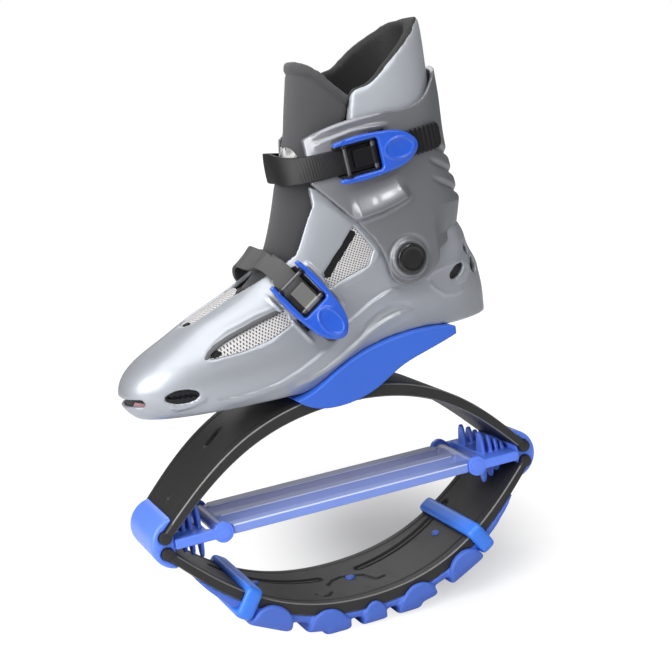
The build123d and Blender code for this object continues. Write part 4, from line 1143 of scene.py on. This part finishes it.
def strap_relief(which, start, end, pitch, depth):
    """Ribs across a strap between two places along it, on its outer face."""
    origin, directions = buckle_axes(which)

    def relief(points, normals):
        along = ((points - origin) @ directions)[:, 0]
        wave = np.clip(np.cos(along * 2 * math.pi / pitch) * 0.8 + 0.2, -1, 1)
        inside = rising(along, start, RIB_EASE) * falling(along, end, RIB_EASE)
        return wave * depth * inside * facing(-normals[:, 1], gain=3, cut=0.4)
    return relief


def upper_strap_relief(points, normals):
    return sum(strap_relief("upper", *ribs)(points, normals) for ribs in (TAIL_TEETH, UPPER_RIBS))


def tilt_loop(piece):
    """The upper strap's loop rises and leans forward at its top."""
    points = points_of(piece.data)[0]
    x, y, z = points.T
    share = rising(x, LOOP_START, x.min() - LOOP_START)
    far = rising(y, start=-0.030, over=0.026)
    heights = z[share > 0.8]
    level = rising(z, heights.min(), heights.max() - heights.min())
    x += share * far * (LOOP_FOOT_BACK - LOOP_LEAN * level)
    z += share * far * (LOOP_FOOT_LIFT + LOOP_TOP_LIFT * level)
    put_points(piece.data, points)


def arch_strap(piece):
    """Evens the lower strap's width and bends it in one smooth arch over the tongue."""
    points = points_of(piece.data)[0]
    x, y, z = points.T
    turn = rising(-y, start=0.012, over=0.022)[:, None]
    across = (1 - turn) * ACROSS_OVER_TONGUE + turn * ACROSS_AT_SIDE
    across /= np.linalg.norm(across, axis=1)[:, None]
    place = (points * across).sum(axis=1)
    chosen = [place[abs(y - row) < ROW_REACH] for row in STRAP_ROWS]
    low, high = np.array([c.min() for c in chosen]), np.array([c.max() for c in chosen])
    middle, half = (low + high) / 2, (high - low) / 2
    line = np.polyval(np.polyfit(STRAP_ROWS, middle, deg=4), y)
    from_middle = place - np.interp(y, STRAP_ROWS, middle)
    wanted = line + from_middle * LOWER_STRAP_HALF_WIDTH / np.interp(y, STRAP_ROWS, half)
    share = rising(y, start=-0.037, over=0.006) * falling(y, end=0.041, over=0.006)
    points += across * ((wanted - place) * share)[:, None]
    lift = smooth_line(STRAP_LIFT, LIFT_STEPS) * MM
    x += np.interp(y, lift[:, 0], lift[:, 1])
    z += np.interp(y, lift[:, 0], lift[:, 2])
    put_points(piece.data, points)


tilt_loop(moulded("upper_strap", "cuff_body", "strap_plastic", STRAP_VOXEL, rounds=2,
                  relief=upper_strap_relief))
arch_strap(moulded("lower_strap", "boot", "lower_strap_plastic", STRAP_VOXEL, rounds=2,
                   relief=strap_relief("lower", *LOWER_RIBS)))
for which in BUCKLES:
    moulded(which + "_lever", which + "_lever_body", "lever_blue", BUCKLE_VOXEL, rounds=3,
            relief=lever_relief(which))
    moulded(which + "_buckle_base", BUCKLE_BODIES[which], "buckle_black", BUCKLE_VOXEL, rounds=1)
    moulded(which + "_pawl", which + "_pawl_body", PAWL_FINISHES[which], PAWL_VOXEL, rounds=1)

# Window edges and patches: lines and outlines in pixels, and the side window's in millimetres (x, z)
VAMP_WINDOW_LINE = [(205, 361), (209, 353), (217, 345), (230, 336.5), (247, 327), (262, 319), (281, 310)]
SIDE_WINDOW_LINE = [(34, 338), (32, 336), (25, 329.3), (16.6, 320), (8.3, 310.7), (0.8, 302), (0.4, 297)]
TOE_SLOT = [(136, 402), (148, 404), (151, 407), (149, 410), (138, 410), (134, 406)]
VAMP_TIP = [(209, 359), (211, 354), (215, 350), (221, 351), (223, 353), (221, 356), (215, 359)]
TOP_MESH_TIP = [(181.5, 326.3), (184, 324.6), (188, 322.6), (191, 323.5), (189, 326), (185, 327.2)]
TONGUE_CORNER = [(278, 149), (283, 148), (289, 150.5), (295, 157), (295, 161), (279, 162)]
# Widths and heights of the window edges, and how their ends swell from a tip
VAMP_EDGE, SIDE_EDGE = (0.0042, 0.0007), (0.0092, 0.0005)
RIBBON_SINK, RIBBON_SIDES = 0.0004, 16
TIP_SHARE, SWELL_SHARE = 0.35, 0.4
THIN_PATCH, THICK_PATCH = 0.0003, 0.0012
# Round covers over the ends of the spring links' pins
PIN_X, PIN_COVER_INNER, PIN_COVER_OUTER = 0.117, 0.0380, 0.0391
PIN_COVER_RADIUS, PIN_COVER_ROUNDING = 0.0056, 0.0004


def add_trim(name, meshes, node, body, finish):
    """A small piece laid on a CAD node, with its own finish, riding the given body."""
    for mesh in meshes:
        right_way_out(mesh)
    piece = new_object(name, joined_mesh(name, meshes))
    wear(piece, finish)
    smooth_faces(piece.data)
    slot_of(node)
    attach(piece, body)
    return piece


def surface_patch(name, node, body, finish, outline, offset=THIN_PATCH, rings=7, both=True):
    """A thin patch laid on a CAD node inside an outline of pixels, with its mirror image if both."""
    middle = np.mean(outline, axis=0)
    found = []
    for k in range(1, rings + 1):
        spots = [spot_at(node, middle + (np.array(pixel) - middle) * k / rings) for pixel in outline]
        if all(spots):
            found.append([point + normal * offset for point, normal in spots])
    sides = [found, [[flipped(point) for point in ring] for ring in found]]
    meshes = [mesh_from_rings("patch", side) for side in (sides if both else sides[:1])]
    return add_trim(name, meshes, node, body, finish)


def surface_ribbon(name, node, body, finish, line, width, height):
    """A flattened bead along a line of points and normals on a CAD node, and its mirror image."""
    meshes = []
    for spots in (line, mirrored(line)):
        rings = []
        last = len(spots) - 1
        for i, (spot, normal) in enumerate(spots):
            ahead = spots[min(i + 1, last)][0] - spots[max(i - 1, 0)][0]
            side = normal.cross(ahead).normalized()
            size = min(1.0, TIP_SHARE + SWELL_SHARE * min(i, last - i))
            rings.append([spot - normal * RIBBON_SINK + side * width / 2 * size * math.cos(t)
                          + normal * height * size * math.sin(t) for t in turns(RIBBON_SIDES)])
        meshes.append(mesh_from_rings("bead", rings))
    add_trim(name, meshes, node, body, finish)


def cover_pins():
    """A round cover over each end of the spring links' pins."""
    places = [(end * PIN_X, side) for end in (-1, 1) for side in (-1, 1)]
    rods = [rod_mesh((x, side * PIN_COVER_INNER, HINGE_HEIGHT), (x, side * PIN_COVER_OUTER, HINGE_HEIGHT),
                     PIN_COVER_RADIUS, PIN_COVER_ROUNDING) for x, side in places]
    covers = new_object("pin_covers", joined_mesh("pin_covers", rods))
    wear(covers, "cap_plastic")
    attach(covers, "tension_unit")


surface_ribbon("vamp_window_trim", "shell", "boot", "dark_trim",
               on_surface("shell", VAMP_WINDOW_LINE), *VAMP_EDGE)
surface_ribbon("side_window_trim", "outer_side_mesh", "boot", "black_trim",
               on_side("outer_side_mesh", SIDE_WINDOW_LINE), *SIDE_EDGE)
cover_pins()
surface_patch("toe_slot_insole", "liner_foot", "boot", "insole_foam", TOE_SLOT, THICK_PATCH, rings=5)
surface_patch("vamp_window_tip", "outer_vamp_mesh", "boot", "black_trim", VAMP_TIP)
surface_patch("top_mesh_tip", "top_mesh", "boot", "black_trim", TOP_MESH_TIP, both=False)
corner = surface_patch("tongue_mesh_corner", "tongue", "boot", "mesh_fabric", TONGUE_CORNER, THICK_PATCH)
draw_back(corner.data)

# Floor: plain and pale, with a painted shadow, a soft grey patch behind the springs
FLOOR_SIZE = 14
OPEN_FLOOR, PAINTED_SHADOW_GREY = (0.80, 0.80, 0.81), (0.50, 0.50, 0.512)
SHADOW_MIDDLE_X, SHADOW_MIDDLE_Y = 0.112, 0.17
# The painted shadow is an oval: how fast it fades across and along, for each metre of x and of y
SHADOW_FADE_ACROSS, SHADOW_FADE_ALONG = (5.2, -0.9), (0.515, 2.98)
FLOOR_GLOW, SKY_LIGHT = 1.1, 0.19
# Lamps: place, target, width and height, and watts
LAMPS = {
    "top_box": ((-0.3, -0.3, 1.7), (0, 0, 0.25), (1.3, 1.3), 17),
    "left_box": ((-1.3, -0.62, 0.9), (-0.05, 0, 0.3), (1.1, 1.2), 25),
    "right_box": ((1.4, -0.9, 0.9), (0, 0, 0.3), (0.8, 1.0), 1.2),
    "back_box": ((0.3, 1.4, 1.1), (0, 0, 0.3), (1.0, 0.8), 5),
    "front_box": ((0.42, -1.45, 1.45), (0.05, 0, 0.3), (0.32, 0.24), 7),
}


def floor_finish():
    """A floor that looks nearly white from the camera, and plain and pale to all other light, but for a
    painted shadow: a grey oval behind the springs, where the camera sees less of the floor's glow.
    """
    finish = Finish("pale_floor", Roughness=0.9, Specular_IOR_Level=0.1)
    x, y, z = finish.axes()
    away = (x * x + y * y).math("SQRT").band(0.35, 1.2)
    across = (x - SHADOW_MIDDLE_X) * SHADOW_FADE_ACROSS[0] + (y - SHADOW_MIDDLE_Y) * SHADOW_FADE_ACROSS[1]
    along = (x - SHADOW_MIDDLE_X) * SHADOW_FADE_ALONG[0] + (y - SHADOW_MIDDLE_Y) * SHADOW_FADE_ALONG[1]
    open_floor = (across * across + along * along).math("SQRT").band(0.1, 1.0)
    # Painted shadow: the floor's colour turns grey inside the oval
    finish.set(Base_Color=finish.mix(open_floor, PAINTED_SHADOW_GREY, OPEN_FLOOR))
    from_camera = finish.node("ShaderNodeLightPath").wire("Is Camera Ray")
    # Inside the painted shadow the camera sees the grey floor rather than its glow
    seen = from_camera * (open_floor * (away * 0.1 + 0.82) + 0.08)
    plain = finish.surface.wire("BSDF")
    glow = finish.node("ShaderNodeEmission", None, {"Color": WHITE, "Strength": FLOOR_GLOW}).wire("Emission")
    blend = finish.node("ShaderNodeMixShader", None, {0: seen, 1: plain, 2: glow}).wire("Shader")
    finish.feed(finish.tree.nodes["Material Output"].inputs["Surface"], blend)
    return finish


def make_floor():
    mesh = bpy.data.meshes.new("floor")
    edit_mesh(mesh, lambda shape: bmesh.ops.create_grid(shape, x_segments=1, y_segments=1, size=FLOOR_SIZE))
    mesh.materials.append(floor_finish().material)
    new_object("floor", mesh)


def make_sky():
    """A white sky behind the object, which lights it only faintly."""
    world = bpy.data.worlds.new("sky")
    world.use_nodes = True
    sky = Shading(world.node_tree)
    background = world.node_tree.nodes["Background"]
    from_camera = sky.node("ShaderNodeLightPath").wire("Is Camera Ray")
    sky.feed(background.inputs["Strength"], from_camera * (1.0 - SKY_LIGHT) + SKY_LIGHT)
    sky.feed(background.inputs["Color"], WHITE)
    bpy.context.scene.world = world


def add_lamp(name, place, target, size, watts):
    data = bpy.data.lights.new(name, "AREA")
    data.shape = "RECTANGLE"
    data.size, data.size_y = size
    data.energy = watts
    lamp = new_object(name, data)
    lamp.location = place
    aim = Vector(target) - Vector(place)
    lamp.rotation_euler = aim.to_track_quat("-Z", "Y").to_euler()


make_floor()
make_sky()
for name, setting in LAMPS.items():
    add_lamp(name, *setting)

view = bpy.context.scene.view_settings
view.view_transform = "Standard"
